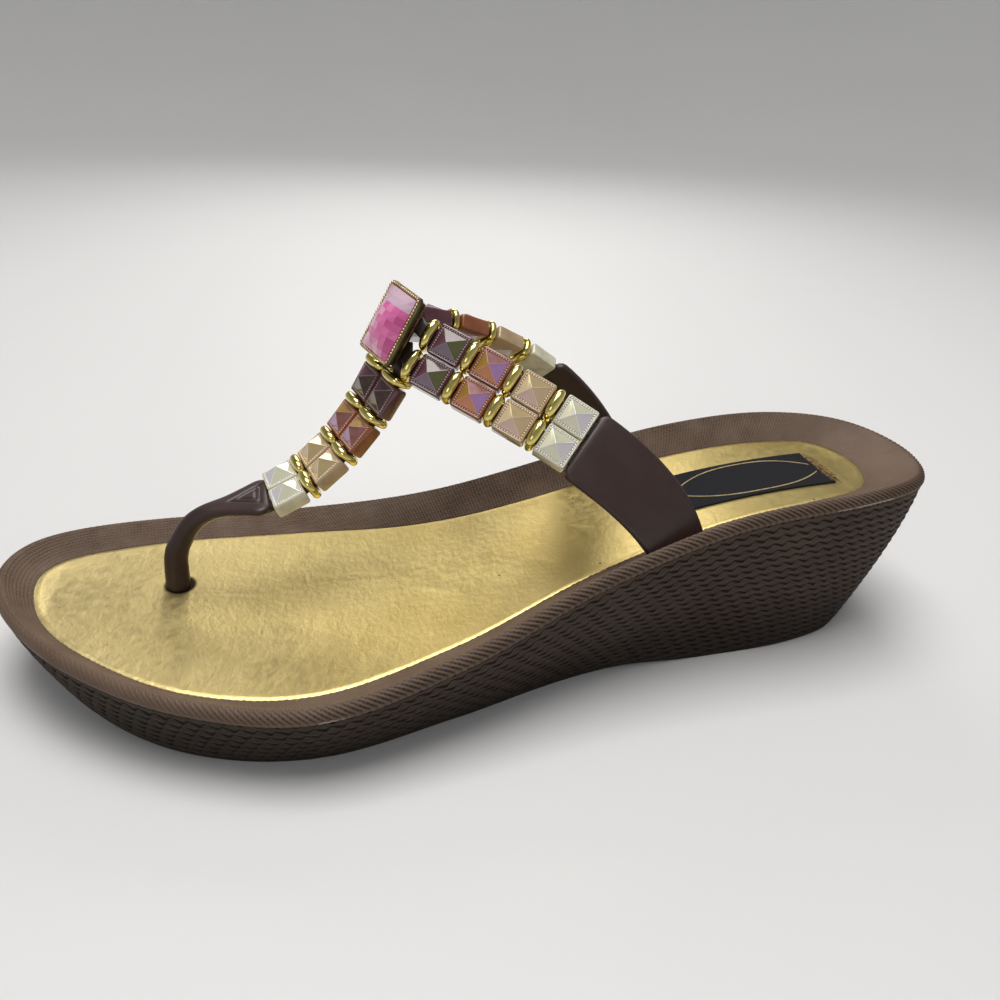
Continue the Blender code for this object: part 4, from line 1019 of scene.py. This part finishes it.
def jewel_axes():
    """Medial, toe-ward and outward axes of the jewel."""
    out = np.array([
        -math.sin(JEWEL_YAW) * math.cos(JEWEL_TILT),
        math.cos(JEWEL_YAW) * math.cos(JEWEL_TILT),
        math.sin(JEWEL_TILT),
    ])
    level = np.array([math.cos(JEWEL_YAW), math.sin(JEWEL_YAW), 0.0])
    down = np.cross(out, level)
    medial = level * math.cos(JEWEL_ROLL) - down * math.sin(JEWEL_ROLL)
    return medial, np.cross(out, medial), out


def jewel_point(medial, down, out):
    axes = jewel_axes()
    return strap_point(*JEWEL_MIDDLE) + medial * axes[0] + down * axes[1] + out * axes[2]


def matrix_of(point, across, along, out):
    """Turns a mesh so that its X, Y and Z run across, along and out, and moves it to the point."""
    turn = Matrix((Vector(across), Vector(along), Vector(out))).transposed().to_4x4()
    return Matrix.Translation(Vector(point)) @ turn


def jewel_matrix(out=0.0):
    return matrix_of(jewel_point(0, 0, out), *jewel_axes())


def hub_level():
    return -(BEZEL_HEIGHT + GAP + HUB_THICKNESS / 2)


def make_plate(arm, finish):
    """A side plate: round-edged, flat, narrower towards the sole."""
    start = plate_start(arm)
    end = arm.length
    ends = ((0.0, 4.6, 1.1), (0.2, 3.2, 0.6), (0.6, 1.9, 0.2), (1.2, 0.8, 0.0), (1.9, 0.2, 0.0))
    stations = []
    distances = [(start + at * MM, narrow * MM, thin * MM) for at, narrow, thin in ends]
    distances += [(distance, 0.0, 0.0) for distance in np.linspace(start + 2.6 * MM, end, 46)]
    for distance, narrow, thin in distances:
        point, _, across, out = arm.frame(distance)
        run = (distance - start) / (end - start)
        width = PLATE_WIDTH * (1 - (1 - PLATE_TAPER) * run ** 2) - narrow
        stations.append((point, across, out, rounded_section(width, PLATE_THICKNESS - thin, 1.05 * MM)))
    return add_piece(f"plate_{arm.side}", sweep("plate", stations), finish, ["upper"])


def make_cord(arm, row, finish):
    """A carrier cord: straight through each bead, bent only between the beads."""
    side = 1 if row else -1
    medial, down, out = HUB_EXITS[arm.side][row]
    exit_point = jewel_point(
        medial * HUB_WIDTH / 2, down * HUB_LENGTH / 2, hub_level() + out * HUB_THICKNESS / 2
    )
    section = rounded_section(CORE_WIDTH, CORE_THICKNESS, 0.8 * MM)
    distances = [ring_place(arm, 0) - RING_WIRE / 2]
    for n in range(len(COLUMNS)):
        distances += [bead_place(arm, n) - BEAD_LENGTH / 2, bead_place(arm, n) + BEAD_LENGTH / 2]
    distances.append(plate_start(arm) + CORE_INSERT)
    stations = []
    for distance in distances:
        point, _, across, out = arm.frame(distance)
        stations.append((point + side * ROW_OFFSET * across, across, out, section))
    first, across = stations[0][:2]
    along = unit(first - exit_point)
    across = unit(across - along * (across @ along))
    stations.insert(0, (exit_point, across, np.cross(across, along), section))
    name = f"cord_{arm.side}_{ROWS[row]}"
    return add_piece(name, sweep(name, stations), finish, ["upper"])


def post_foot():
    x, y = POST_PLACE[0] * BALL_WIDTH, POST_PLACE[1] * LENGTH
    return np.array([x, y, float(footbed_height(x, y))])


def triangle_groove(u, v):
    """Depth of two nested triangles cut into the toe plate; u runs across it and v along it."""
    depth = np.zeros_like(u)
    for size in (1.0, 0.55):
        corners = np.array([(-5.0, 2.1), (5.0, 2.1), (0.0, 10.4)]) * MM
        middle = corners.mean(axis=0) + (0, -0.4 * MM)
        corners = middle + (corners - middle) * size
        near = np.full_like(u, 1.0)
        for a, b in zip(corners, np.roll(corners, -1, axis=0)):
            run = b - a
            t = np.clip(((u - a[0]) * run[0] + (v - a[1]) * run[1]) / (run @ run), 0, 1)
            near = np.minimum(near, np.hypot(u - a[0] - t * run[0], v - a[1] - t * run[1]))
        depth = np.maximum(depth, np.clip(1 - near / (0.55 * MM), 0, 1) ** 0.8)
    return 0.42 * MM * depth


def make_toe_piece(arm, finish):
    """The toe plate with its nested triangles, its neck and the post."""
    start, foot = arm.frame(plate_start(arm))[0], post_foot()
    rows = np.array(TOE_PIECE)
    knots = np.concatenate([rows[:, 0], [1.12]])
    shares = np.concatenate([np.linspace(0, 0.5, 64), np.linspace(0.5, 1.0, 40)[1:], [1.12]])
    drop = smooth(knots, np.concatenate([rows[:, 1], [0.0]]), shares)
    width = smooth(knots, np.concatenate([rows[:, 2], rows[-1:, 2]]), shares) * TOE_PLATE_WIDTH
    thick = smooth(knots, np.concatenate([rows[:, 3], rows[-1:, 3]]), shares) * POST_DIAMETER
    forward = np.minimum(shares, 1.0)
    centres = foot + (start - foot) * np.column_stack([1 - forward, 1 - forward, drop])
    centres[-1] = foot - (0, 0, SOCKET_DEPTH - GAP)
    thick = thick * (1 - 0.22 * np.exp(-((shares - 0.38) / 0.16) ** 2))
    steps = np.linalg.norm(np.diff(centres, axis=0), axis=1)
    lengths = np.concatenate([[0], np.cumsum(steps)])
    travelled = np.linspace(0, lengths[-1], 140)
    centres = np.column_stack([np.interp(travelled, lengths, centres[:, i]) for i in range(3)])
    width, thick = np.interp(travelled, lengths, width), np.interp(travelled, lengths, thick)
    for _ in range(70):
        centres[1:-1] = (centres[:-2] + 2 * centres[1:-1] + centres[2:]) / 4
    width -= 1.6 * MM * np.clip(1 - travelled / (0.8 * MM), 0, 1) ** 2
    thick -= 0.7 * MM * np.clip(1 - travelled / (0.6 * MM), 0, 1) ** 2
    stations = []
    for k, centre in enumerate(centres):
        before, after = centres[max(k - 1, 0)], centres[min(k + 1, len(centres) - 1)]
        along = unit(after - before)
        if k == 0:
            along = arm.frame(plate_start(arm))[1]
        if k == len(centres) - 1:
            along = np.array([0.0, 0.0, -1.0])
        across = unit(np.array([1.0, 0, 0]) - along * along[0])
        section = oval(width[k], thick[k], 120)
        upper_side = section[:, 1] > 0
        groove = triangle_groove(section[:, 0], np.full(len(section), travelled[k]))
        section[:, 1] -= np.where(upper_side, groove, 0)
        stations.append((centre, across, np.cross(across, along), section))
    return add_piece("toe_piece", sweep("toe_piece", stations), finish, ["upper"])


def make_bridge(finish):
    """The bridge under the jewel, where the cords of the three arms join."""
    shape = bmesh.new()
    bmesh.ops.create_cube(shape, size=1)
    bmesh.ops.scale(shape, vec=(HUB_WIDTH, HUB_LENGTH, HUB_THICKNESS), verts=shape.verts)
    bmesh.ops.bevel(shape, geom=shape.edges, offset=1.1 * MM, segments=3, affect="EDGES", profile=0.5)
    mesh = bpy.data.meshes.new("bridge")
    shape.to_mesh(mesh)
    shape.free()
    return add_piece("bridge", mesh, finish, ["upper"], 60, jewel_matrix(hub_level()))


def rounded_loop(half_w, half_l, radius, turns=4):
    """A rectangle with round corners, counter-clockwise."""
    return rounded_section(2 * half_w, 2 * half_l, radius, turns) if radius > 0 else np.array(
        [(half_w, half_l), (-half_w, half_l), (-half_w, -half_l), (half_w, -half_l)]
    )


def loop_section(half_w, half_l, radius, turns=4):
    """Like rounded_loop, but never limits the radius by the longer side."""
    corners = []
    for quarter, (a, b) in enumerate(((1, 1), (-1, 1), (-1, -1), (1, -1))):
        for k in range(turns + 1):
            angle = (quarter + k / turns) * math.pi / 2
            corners.append((
                a * (half_w - radius) + radius * math.cos(angle),
                b * (half_l - radius) + radius * math.sin(angle),
            ))
    return np.array(corners)


def stack_loops(shape, levels, half_w, half_l, turns=4):
    """Rings of a rounded rectangle: each level gives height, inset and corner radius."""
    count = 4 * (turns + 1)
    start = shape.count
    for height, inset, radius in levels:
        loop = loop_section(half_w - inset, half_l - inset, radius, turns)
        shape.add(np.column_stack([loop, np.full(count, height)]), loop)
    shape.grid(len(levels), count, start, closed=True)
    return start, count


def even_path(corners, pitch):
    """Points at an even pitch along a closed line."""
    closed = np.vstack([corners, corners[:1]])
    lengths = np.concatenate([[0], np.cumsum(np.linalg.norm(np.diff(closed, axis=0), axis=1))])
    count = round(lengths[-1] / pitch)
    even = np.arange(count) / count * lengths[-1]
    return np.stack([np.interp(even, lengths, closed[:, i]) for i in range(2)], axis=1)


def add_dots(shape, places, height, radius, sides=7, levels=4):
    """Small balls in a row, as in a milgrain border; returns the first of their faces."""
    first = len(shape.faces)
    for x, y in places:
        start = shape.count
        for level in range(levels):
            tilt = math.pi * (0.12 + 0.88 * level / levels) / 2 + math.pi * 0.03
            a = 2 * math.pi * np.arange(sides) / sides
            r, z = radius * math.sin(math.pi / 2 + tilt * 0 + (level / levels) * math.pi / 2), radius * math.sin((level / levels) * math.pi / 2)
            shape.add(np.column_stack([x + r * np.cos(a), y + r * np.sin(a), np.full(sides, height + z)]))
        tip = shape.add([(x, y, height + radius)])
        foot = shape.add([(x, y, height - 0.3 * radius)])
        shape.grid(levels, sides, start, closed=True)
        for i in range(sides):
            nxt = (i + 1) % sides
            shape.faces.append((start + (levels - 1) * sides + i, start + (levels - 1) * sides + nxt, tip))
            shape.faces.append((start + nxt, start + i, foot))
    return first


def add_ridge(shape, low, high, radius):
    """A fine rounded rib along one edge of a pyramid."""
    along = unit(high - low)
    side = unit(np.cross(along, (0, 0, 1)))
    up = np.cross(side, along)
    turn = math.pi / 3 * np.arange(6)
    ring = radius * (np.outer(np.cos(turn), side) + np.outer(np.sin(turn), up))
    start = shape.add(np.vstack([low + ring, high + ring * 0.6]))
    shape.grid(2, 6, start, closed=True)
    shape.faces.append(tuple(start + k for k in range(5, -1, -1)))
    shape.faces.append(tuple(start + 6 + k for k in range(6)))


def bead_mesh(name):
    """A square bead: rounded body, sunk border with milgrain, and a pyramid of four facets."""
    half_w, half_l = BEAD_WIDTH / 2, BEAD_LENGTH / 2
    shape = Shape()
    levels = [(-2.2, 0.55, 0.5), (-2.05, 0.2, 0.6), (-1.7, 0.0, 0.7), (1.25, 0.0, 0.7), (1.65, 0.05, 0.65)]
    levels += [(1.9, 0.18, 0.55), (2.0, 0.38, 0.4), (1.95, 0.55, 0.3), (1.75, 0.66, 0.25), (1.75, 1.02, 0.12), (1.98, 1.12, 0.06)]
    levels = [(a * MM, b * MM, c * MM) for a, b, c in levels]
    start, count = stack_loops(shape, levels, half_w, half_l)
    shape.faces.append(tuple(range(start + count - 1, start - 1, -1)))
    body_faces = len(shape.faces)
    inset = levels[-1][1]
    corner = [(half_w - inset, half_l - inset), (inset - half_w, half_l - inset)]
    corner += [(inset - half_w, inset - half_l), (half_w - inset, inset - half_l)]
    base = shape.add([(x, y, levels[-1][0]) for x, y in corner])
    top = start + (len(levels) - 1) * count
    shape.faces.append(tuple(top + k for k in range(count)))
    apex = shape.add([(0.35 * MM, -0.5 * MM, BEAD_ABOVE + PYRAMID_HEIGHT)])
    pyramid = [(base, base + 1, apex), (base + 1, base + 2, apex), (base + 2, base + 3, apex), (base + 3, base, apex)]
    first_facet = len(shape.faces)
    shape.faces += pyramid
    shape.faces.append((base + 3, base + 2, base + 1, base))
    summit = np.vstack(shape.points)[apex]
    for x, y in corner:
        add_ridge(shape, np.array([x, y, levels[-1][0]]), summit, 0.09 * MM)
    path = even_path(loop_section(half_w - 0.82 * MM, half_l - 0.82 * MM, 0.2 * MM), 0.72 * MM)
    add_dots(shape, path, 1.86 * MM, 0.29 * MM)
    mesh = shape.mesh(name)
    slots = np.zeros(len(mesh.polygons), np.int32)
    slots[first_facet:] = 1
    for k, slot in enumerate((4, 3, 5, 2)):
        slots[first_facet + k] = slot
    slots[body_faces] = 0
    mesh.polygons.foreach_set("material_index", slots)
    return mesh


def make_beads(arm, finishes):
    for n, colour in enumerate(COLUMNS):
        start = bead_place(arm, n) - BEAD_LENGTH / 2
        end = bead_place(arm, n) + BEAD_LENGTH / 2
        for row, letter in enumerate(ROWS):
            side = 1 if row else -1
            ends = []
            for distance in (start, end):
                point, _, across, _ = arm.frame(distance)
                ends.append(point + side * ROW_OFFSET * across)
            along = unit(ends[1] - ends[0])
            across = arm.frame((start + end) / 2)[2]
            across = unit(across - along * (across @ along))
            node = f"bead_{arm.side}_{colour}_{letter}"
            matrix = matrix_of((ends[0] + ends[1]) / 2, across, along, np.cross(across, along))
            add_piece(f"gem_{arm.side}_{colour}_{letter}", bead_mesh("gem"), finishes[colour], [node], 32, matrix)


def ring_grid(shape, shift, around=44, sides=14):
    """One ring of a spacer round a carrier cord, lying across Y."""
    wire = RING_WIRE / 2
    half_w, half_t = RING_WIDTH / 2 - wire, RING_HEIGHT / 2 - wire
    rings = []
    for i in range(around):
        a = 2 * math.pi * i / around
        c, s = math.cos(a), math.sin(a)
        power = 0.7
        x = math.copysign(abs(c) ** power, c) * half_w
        z = math.copysign(abs(s) ** power, s) * half_t
        out = unit((c / half_w, s / half_t))
        b = 2 * math.pi * np.arange(sides) / sides
        # The casting is fuller over the bead's middle and thinner where the rings meet.
        thick = wire * (0.86 + 0.32 * s * s)
        rings.append(np.column_stack([
            shift + x + out[0] * np.cos(b) * thick, np.sin(b) * thick, z + out[1] * np.cos(b) * thick
        ]))
    start = shape.add(np.vstack(rings))
    for i in range(around):
        for j in range(sides):
            a, b, k = start + i * sides, start + ((i + 1) % around) * sides, (j + 1) % sides
            shape.faces.append((a + j, b + j, b + k, a + k))


def make_spacers(arm, finish):
    for n in range(len(COLUMNS)):
        shape = Shape()
        ring_grid(shape, -ROW_OFFSET)
        ring_grid(shape, ROW_OFFSET)
        distance = ring_place(arm, n)
        point, along, across, out = arm.frame(distance)
        name = f"rings_{arm.side}_{n + 1}"
        mesh = shape.mesh(name, outward=True)
        add_piece(name, mesh, finish, [f"spacer_{arm.side}_{n + 1}"], 180.0, matrix_of(point, across, along, out))


def make_bezel(finish):
    """A cast tray: flared wall, rolled lip with milgrain, and a pocket for the stone."""
    half_w, half_l = BEZEL_WIDTH / 2, BEZEL_LENGTH / 2
    shape = Shape()
    levels = [(-3.2, 1.1, 0.6), (-3.1, 0.9, 0.8), (-1.7, 0.7, 0.9), (-1.25, 0.15, 1.1), (-1.1, 0.0, 1.2), (-0.45, 0.0, 1.2)]
    levels += [(-0.15, 0.1, 1.1), (0.0, 0.35, 1.0), (0.0, 0.85, 0.7), (-0.25, 1.1, 0.5), (-1.0, 1.2, 0.4), (-2.0, 1.2, 0.4)]
    levels = [(a * MM, b * MM, c * MM) for a, b, c in levels]
    start, count = stack_loops(shape, levels, half_w, half_l, 6)
    shape.faces.append(tuple(range(start + count - 1, start - 1, -1)))
    top = start + (len(levels) - 1) * count
    shape.faces.append(tuple(top + k for k in range(count)))
    lip = even_path(loop_section(half_w - 0.6 * MM, half_l - 0.6 * MM, 0.8 * MM, 6), 0.86 * MM)
    add_dots(shape, lip, -0.05 * MM, 0.42 * MM, 9, 5)
    return add_piece("bezel_tray", shape.mesh("bezel_tray"), finish, ["bezel"], 40, jewel_matrix())


def make_stone(finish):
    """A domed rectangular stone cut into rows of square facets."""
    half_w = BEZEL_WIDTH / 2 - BEZEL_WALL + 0.1 * MM
    half_l = BEZEL_LENGTH / 2 - BEZEL_WALL + 0.1 * MM
    columns, rows = 6, 9
    random = np.random.default_rng(11)
    shape = Shape()
    for i in range(rows + 1):
        for j in range(columns + 1):
            u, v = 2 * j / columns - 1, 2 * i / rows - 1
            height = STONE_CROWN * (1 - abs(u) ** 2.4) * (1 - abs(v) ** 2.4) + 0.2 * MM
            inside = 0 < i < rows and 0 < j < columns
            height += random.normal(0, 0.07 * MM) if inside else 0.0
            shape.add([(u * half_w, v * half_l, height)])
    for i in range(rows):
        for j in range(columns):
            a = i * (columns + 1) + j
            shape.faces.append((a, a + 1, a + columns + 2))
            shape.faces.append((a, a + columns + 2, a + columns + 1))
    crown = len(shape.faces)
    border = list(range(columns)) + [i * (columns + 1) + columns for i in range(rows)]
    border += [rows * (columns + 1) + j for j in range(columns, 0, -1)]
    border += [i * (columns + 1) for i in range(rows, 0, -1)]
    points = np.vstack(shape.points)
    low = shape.add(np.column_stack([points[border][:, :2], np.full(len(border), -1.6 * MM)]))
    for k in range(len(border)):
        nxt = (k + 1) % len(border)
        shape.faces.append((border[nxt], border[k], low + k, low + nxt))
    shape.faces.append(tuple(low + k for k in range(len(border))))
    mesh = shape.mesh("stone_cut", outward=True)
    # Both halves of a square share its shade, but for a slight step along the diagonal.
    # Painted light: the squares grow lighter across the stone towards the side that faces the light, with a random
    # shade for each square on top.
    across = np.tile(2 * (np.arange(columns) + 0.5) / columns - 1, rows)
    squares = 0.42 + 0.34 * across + random.normal(0, 0.15, crown // 2)
    squares = np.repeat(np.clip(squares, 0, 0.8), 2)
    shades = np.full(len(mesh.polygons), 0.2)
    shades[:crown] = squares + random.normal(0, 0.04, crown)
    # Squares along the rear edge, at the foot side of the jewel, mirror the grey room.
    shades[:crown][np.arange(crown) < 4 * columns] = 0.97
    mesh.attributes.new("shade", "FLOAT", "FACE").data.foreach_set("value", shades.astype(np.float32))
    return add_piece("stone_cut", mesh, finish, ["stone"], 0, jewel_matrix())


def make_label(cloth, thread, loose):
    """A woven label that follows the dish of the heel seat, with a thin border line of gold thread."""
    middle = np.array([LABEL_MIDDLE[0] * BALL_WIDTH, LABEL_MIDDLE[1] * LENGTH])
    turn = LABEL_TURN - LABEL_EASE
    along = np.array([-math.sin(turn), math.cos(turn)])
    across = np.array([along[1], -along[0]])

    def place(s, t, rise):
        flat = middle + along * s + across * t
        return (*flat, float(footbed_height(*flat)) + rise)

    middle = middle + across * LABEL_SHIFT
    width = LABEL_WIDTH - 2 * LABEL_SHIFT
    rows, columns = 60, 26
    shape = Shape()
    top = 0.55 * MM
    for edge, rise in ((1.0, 0.05 * MM), (1.0, top - 0.12 * MM), (0.985, top)):
        loop = []
        for k in range(columns):
            loop.append((-rows / 2, k - columns / 2))
        for k in range(rows):
            loop.append((k - rows / 2, columns / 2))
        for k in range(columns):
            loop.append((rows / 2, columns / 2 - k))
        for k in range(rows):
            loop.append((rows / 2 - k, -columns / 2))
        points, flat = [], []
        for a, b in loop:
            s, t = a / rows * LABEL_LENGTH * edge, b / columns * width * edge
            fray = 0.12 * MM * math.sin(97 * a + 31 * b) if abs(a) == rows / 2 else 0.0
            points.append(place(s + fray, t, rise))
            flat.append((s, t))
        shape.add(points, flat)
    count = 2 * (rows + columns)
    shape.grid(3, count, 0, closed=True)
    inner = {}
    for a in range(1, rows):
        for b in range(1, columns):
            s = (a / rows - 0.5) * LABEL_LENGTH * 0.985
            t = (b / columns - 0.5) * width * 0.985
            inner[a, b] = shape.add([place(s, t, top)], [(s, t)])
    ring = 2 * count
    for k in range(columns):
        inner[0, k] = ring + k
    for k in range(rows):
        inner[k, columns] = ring + columns + k
    for k in range(columns):
        inner[rows, columns - k] = ring + columns + rows + k
    for k in range(rows):
        inner[rows - k, 0] = ring + 2 * columns + rows + k
    for a in range(rows):
        for b in range(columns):
            shape.faces.append((inner[a, b], inner[a + 1, b], inner[a + 1, b + 1], inner[a, b + 1]))
    shape.faces.append(tuple(range(count)))
    add_piece("label_cloth", shape.mesh("label_cloth", outward=True), cloth, ["heel_label"], 50)
    inset_s, inset_t = LABEL_LENGTH / 2 - 1.6 * MM, width / 2 - 1.6 * MM
    strip = rounded_section(0.4 * MM, 0.2 * MM, 0.09 * MM, 2)
    sideways, upwards = np.array([*across, 0.0]), np.array([0, 0, 1.0])
    for name, side in (("label_line_a", -1), ("label_line_b", 1)):
        stations = []
        for u in np.linspace(-1, 1, 90):
            bow = side * inset_t * (1 - 0.72 * abs(u) ** 2.6)
            stations.append((np.array(place(u * inset_s, bow, top + 0.04 * MM)), sideways, upwards, strip))
        add_piece(name, sweep(name, stations), thread, ["heel_label"])
    make_fray(place, width, loose)


def make_fray(place, width, loose):
    """Loose threads at the heel end of the label."""
    random = np.random.default_rng(5)
    shape = Shape()
    turn = math.pi / 2 * np.arange(4)
    for _ in range(34):
        root = (random.random() - 0.5) * 0.9
        root = root * width if random.random() < 0.35 else -abs(root) * width
        reach = random.uniform(1.2, 4.2) * MM
        lean = random.normal(0, 0.5)
        rise = random.uniform(0.1, 0.9) * MM
        rows = 7
        start = shape.count
        for k in range(rows):
            share = k / (rows - 1)
            s = -LABEL_LENGTH / 2 + 0.6 * MM - reach * share
            t = root + lean * reach * share ** 1.6
            lift = 0.45 * MM + rise * math.sin(math.pi * min(share * 1.2, 1)) - 0.3 * MM * share
            middle = np.array(place(s, t, lift))
            thick = 0.17 * MM * (1 - 0.55 * share)
            ring = np.column_stack([thick * np.cos(turn), np.zeros(4), thick * np.sin(turn)])
            shape.add(middle + ring, np.full((4, 2), reach * share))
        shape.grid(rows, 4, start, closed=True)
        shape.faces.append(tuple(start + k for k in range(3, -1, -1)))
        shape.faces.append(tuple(start + (rows - 1) * 4 + k for k in range(4)))
    add_piece("label_fray", shape.mesh("label_fray", outward=True), loose, ["heel_label"])


def make_floor():
    """A round floor that turns up into a wall far from the shoe, so that no horizon shows."""
    profile = [(0.0, 0.0), (FLOOR_RADIUS, 0.0)]
    for k in range(1, 13):
        angle = k / 12 * math.pi / 2
        profile.append((
            FLOOR_RADIUS + FLOOR_BEND * math.sin(angle), FLOOR_BEND * (1 - math.cos(angle))
        ))
    profile.append((FLOOR_RADIUS + FLOOR_BEND, FLOOR_BEND + FLOOR_WALL))
    shape = Shape()
    sides = 96
    turn = 2 * math.pi * np.arange(sides) / sides
    for radius, height in profile[1:]:
        shape.add(np.column_stack([radius * np.cos(turn), radius * np.sin(turn), np.full(sides, height)]))
    shape.grid(len(profile) - 1, sides, 0, closed=True, flip=True)
    shape.faces.append(tuple(range(sides)))
    floor = bpy.data.objects.new("floor", shape.mesh("floor"))
    bpy.context.scene.collection.objects.link(floor)
    floor.data.materials.append(floor_finish())
    floor.data.shade_smooth()


def make_camera():
    data = bpy.data.cameras.new("camera")
    data.lens = CAMERA_LENS
    data.sensor_width = 36
    data.clip_start = 0.01
    camera = bpy.data.objects.new("camera", data)
    forward = Vector((
        math.cos(CAMERA_YAW) * math.cos(CAMERA_PITCH),
        math.sin(CAMERA_YAW) * math.cos(CAMERA_PITCH),
        -math.sin(CAMERA_PITCH),
    ))
    right = forward.cross(Vector((0, 0, 1))).normalized()
    up = right.cross(forward)
    side = right * math.cos(CAMERA_ROLL) + up * math.sin(CAMERA_ROLL)
    top = up * math.cos(CAMERA_ROLL) - right * math.sin(CAMERA_ROLL)
    turn = Matrix((side, top, -forward)).transposed().to_4x4()
    camera.matrix_world = Matrix.Translation(CAMERA_PLACE) @ turn
    bpy.context.scene.collection.objects.link(camera)
    bpy.context.scene.camera = camera


def make_light(name, place, target, size, energy, colour=(1, 1, 1)):
    data = bpy.data.lights.new(name, "AREA")
    data.shape = "RECTANGLE"
    data.size, data.size_y = size
    data.energy = energy
    data.color = colour
    light = bpy.data.objects.new(name, data)
    light.location = place
    light.rotation_euler = (Vector(target) - Vector(place)).to_track_quat("-Z", "Y").to_euler()
    bpy.context.scene.collection.objects.link(light)


def make_lights():
    bpy.context.scene.view_settings.view_transform = "Standard"
    world = bpy.data.worlds.new("studio")
    world.use_nodes = True
    bpy.context.scene.world = world
    tree = world.node_tree
    # A white room, darker behind the camera and towards the floor.
    place = tree.nodes.new("ShaderNodeTexCoord")
    parts = tree.nodes.new("ShaderNodeSeparateXYZ")
    tilt = tree.nodes.new("ShaderNodeMath")
    tilt.operation = "MULTIPLY_ADD"
    tilt.inputs[1].default_value = 0.5
    ramp = tree.nodes.new("ShaderNodeValToRGB")
    stops = ((0.0, (0.10, 0.10, 0.11)), (0.35, (0.16, 0.165, 0.18)), (0.6, (0.40, 0.41, 0.43)), (1.0, (0.58, 0.59, 0.61)))
    for share, colour in stops[1:-1]:
        ramp.color_ramp.elements.new(share)
    for element, (share, colour) in zip(ramp.color_ramp.elements, stops):
        element.position = share
        element.color = (*colour, 1)
    tree.links.new(place.outputs["Generated"], parts.inputs[0])
    tree.links.new(parts.outputs["X"], tilt.inputs[0])
    shift = tree.nodes.new("ShaderNodeMath")
    shift.operation = "MULTIPLY_ADD"
    shift.inputs[1].default_value = 0.35
    shift.inputs[2].default_value = 0.35
    tree.links.new(parts.outputs["Z"], shift.inputs[0])
    tree.links.new(shift.outputs[0], tilt.inputs[2])
    tree.links.new(tilt.outputs[0], ramp.inputs[0])
    tree.links.new(ramp.outputs[0], tree.nodes["Background"].inputs[0])
    make_light("window", (0.62, -0.10, 0.40), (0, 0.0, 0.03), (0.35, 0.3), 1.1, (1.0, 0.98, 0.95))
    make_light("top", (0.10, 0.0, 1.1), (0, 0, 0.03), (0.7, 0.7), 10.5, (1.0, 0.985, 0.96))
    make_light("front", (-0.7, 0.5, 0.55), (0, 0.02, 0.04), (0.4, 0.4), 0.9)


def main():
    foam, rubber = foam_finish(), rubber_finish()
    make_wall(foam)
    make_rim(rim_finish())
    make_insole(gold_leather_finish())
    make_label(label_finish(), thread_finish(), loose_thread_finish())
    arms = [Arm("lateral", LATERAL_ARM), Arm("medial", MEDIAL_ARM), Arm("centre", CENTRE_ARM)]
    finishes = {colour: bead_finishes(colour) for colour in COLUMNS}
    gold = plated_finish()
    for arm in arms:
        for row in range(len(ROWS)):
            make_cord(arm, row, rubber)
        make_beads(arm, finishes)
        make_spacers(arm, gold)
    make_plate(arms[0], rubber)
    make_plate(arms[1], rubber)
    make_toe_piece(arms[2], rubber)
    make_bridge(rubber)
    make_bezel(antique_finish())
    make_stone(stone_finish())
    make_floor()
    make_camera()
    make_lights()


main()
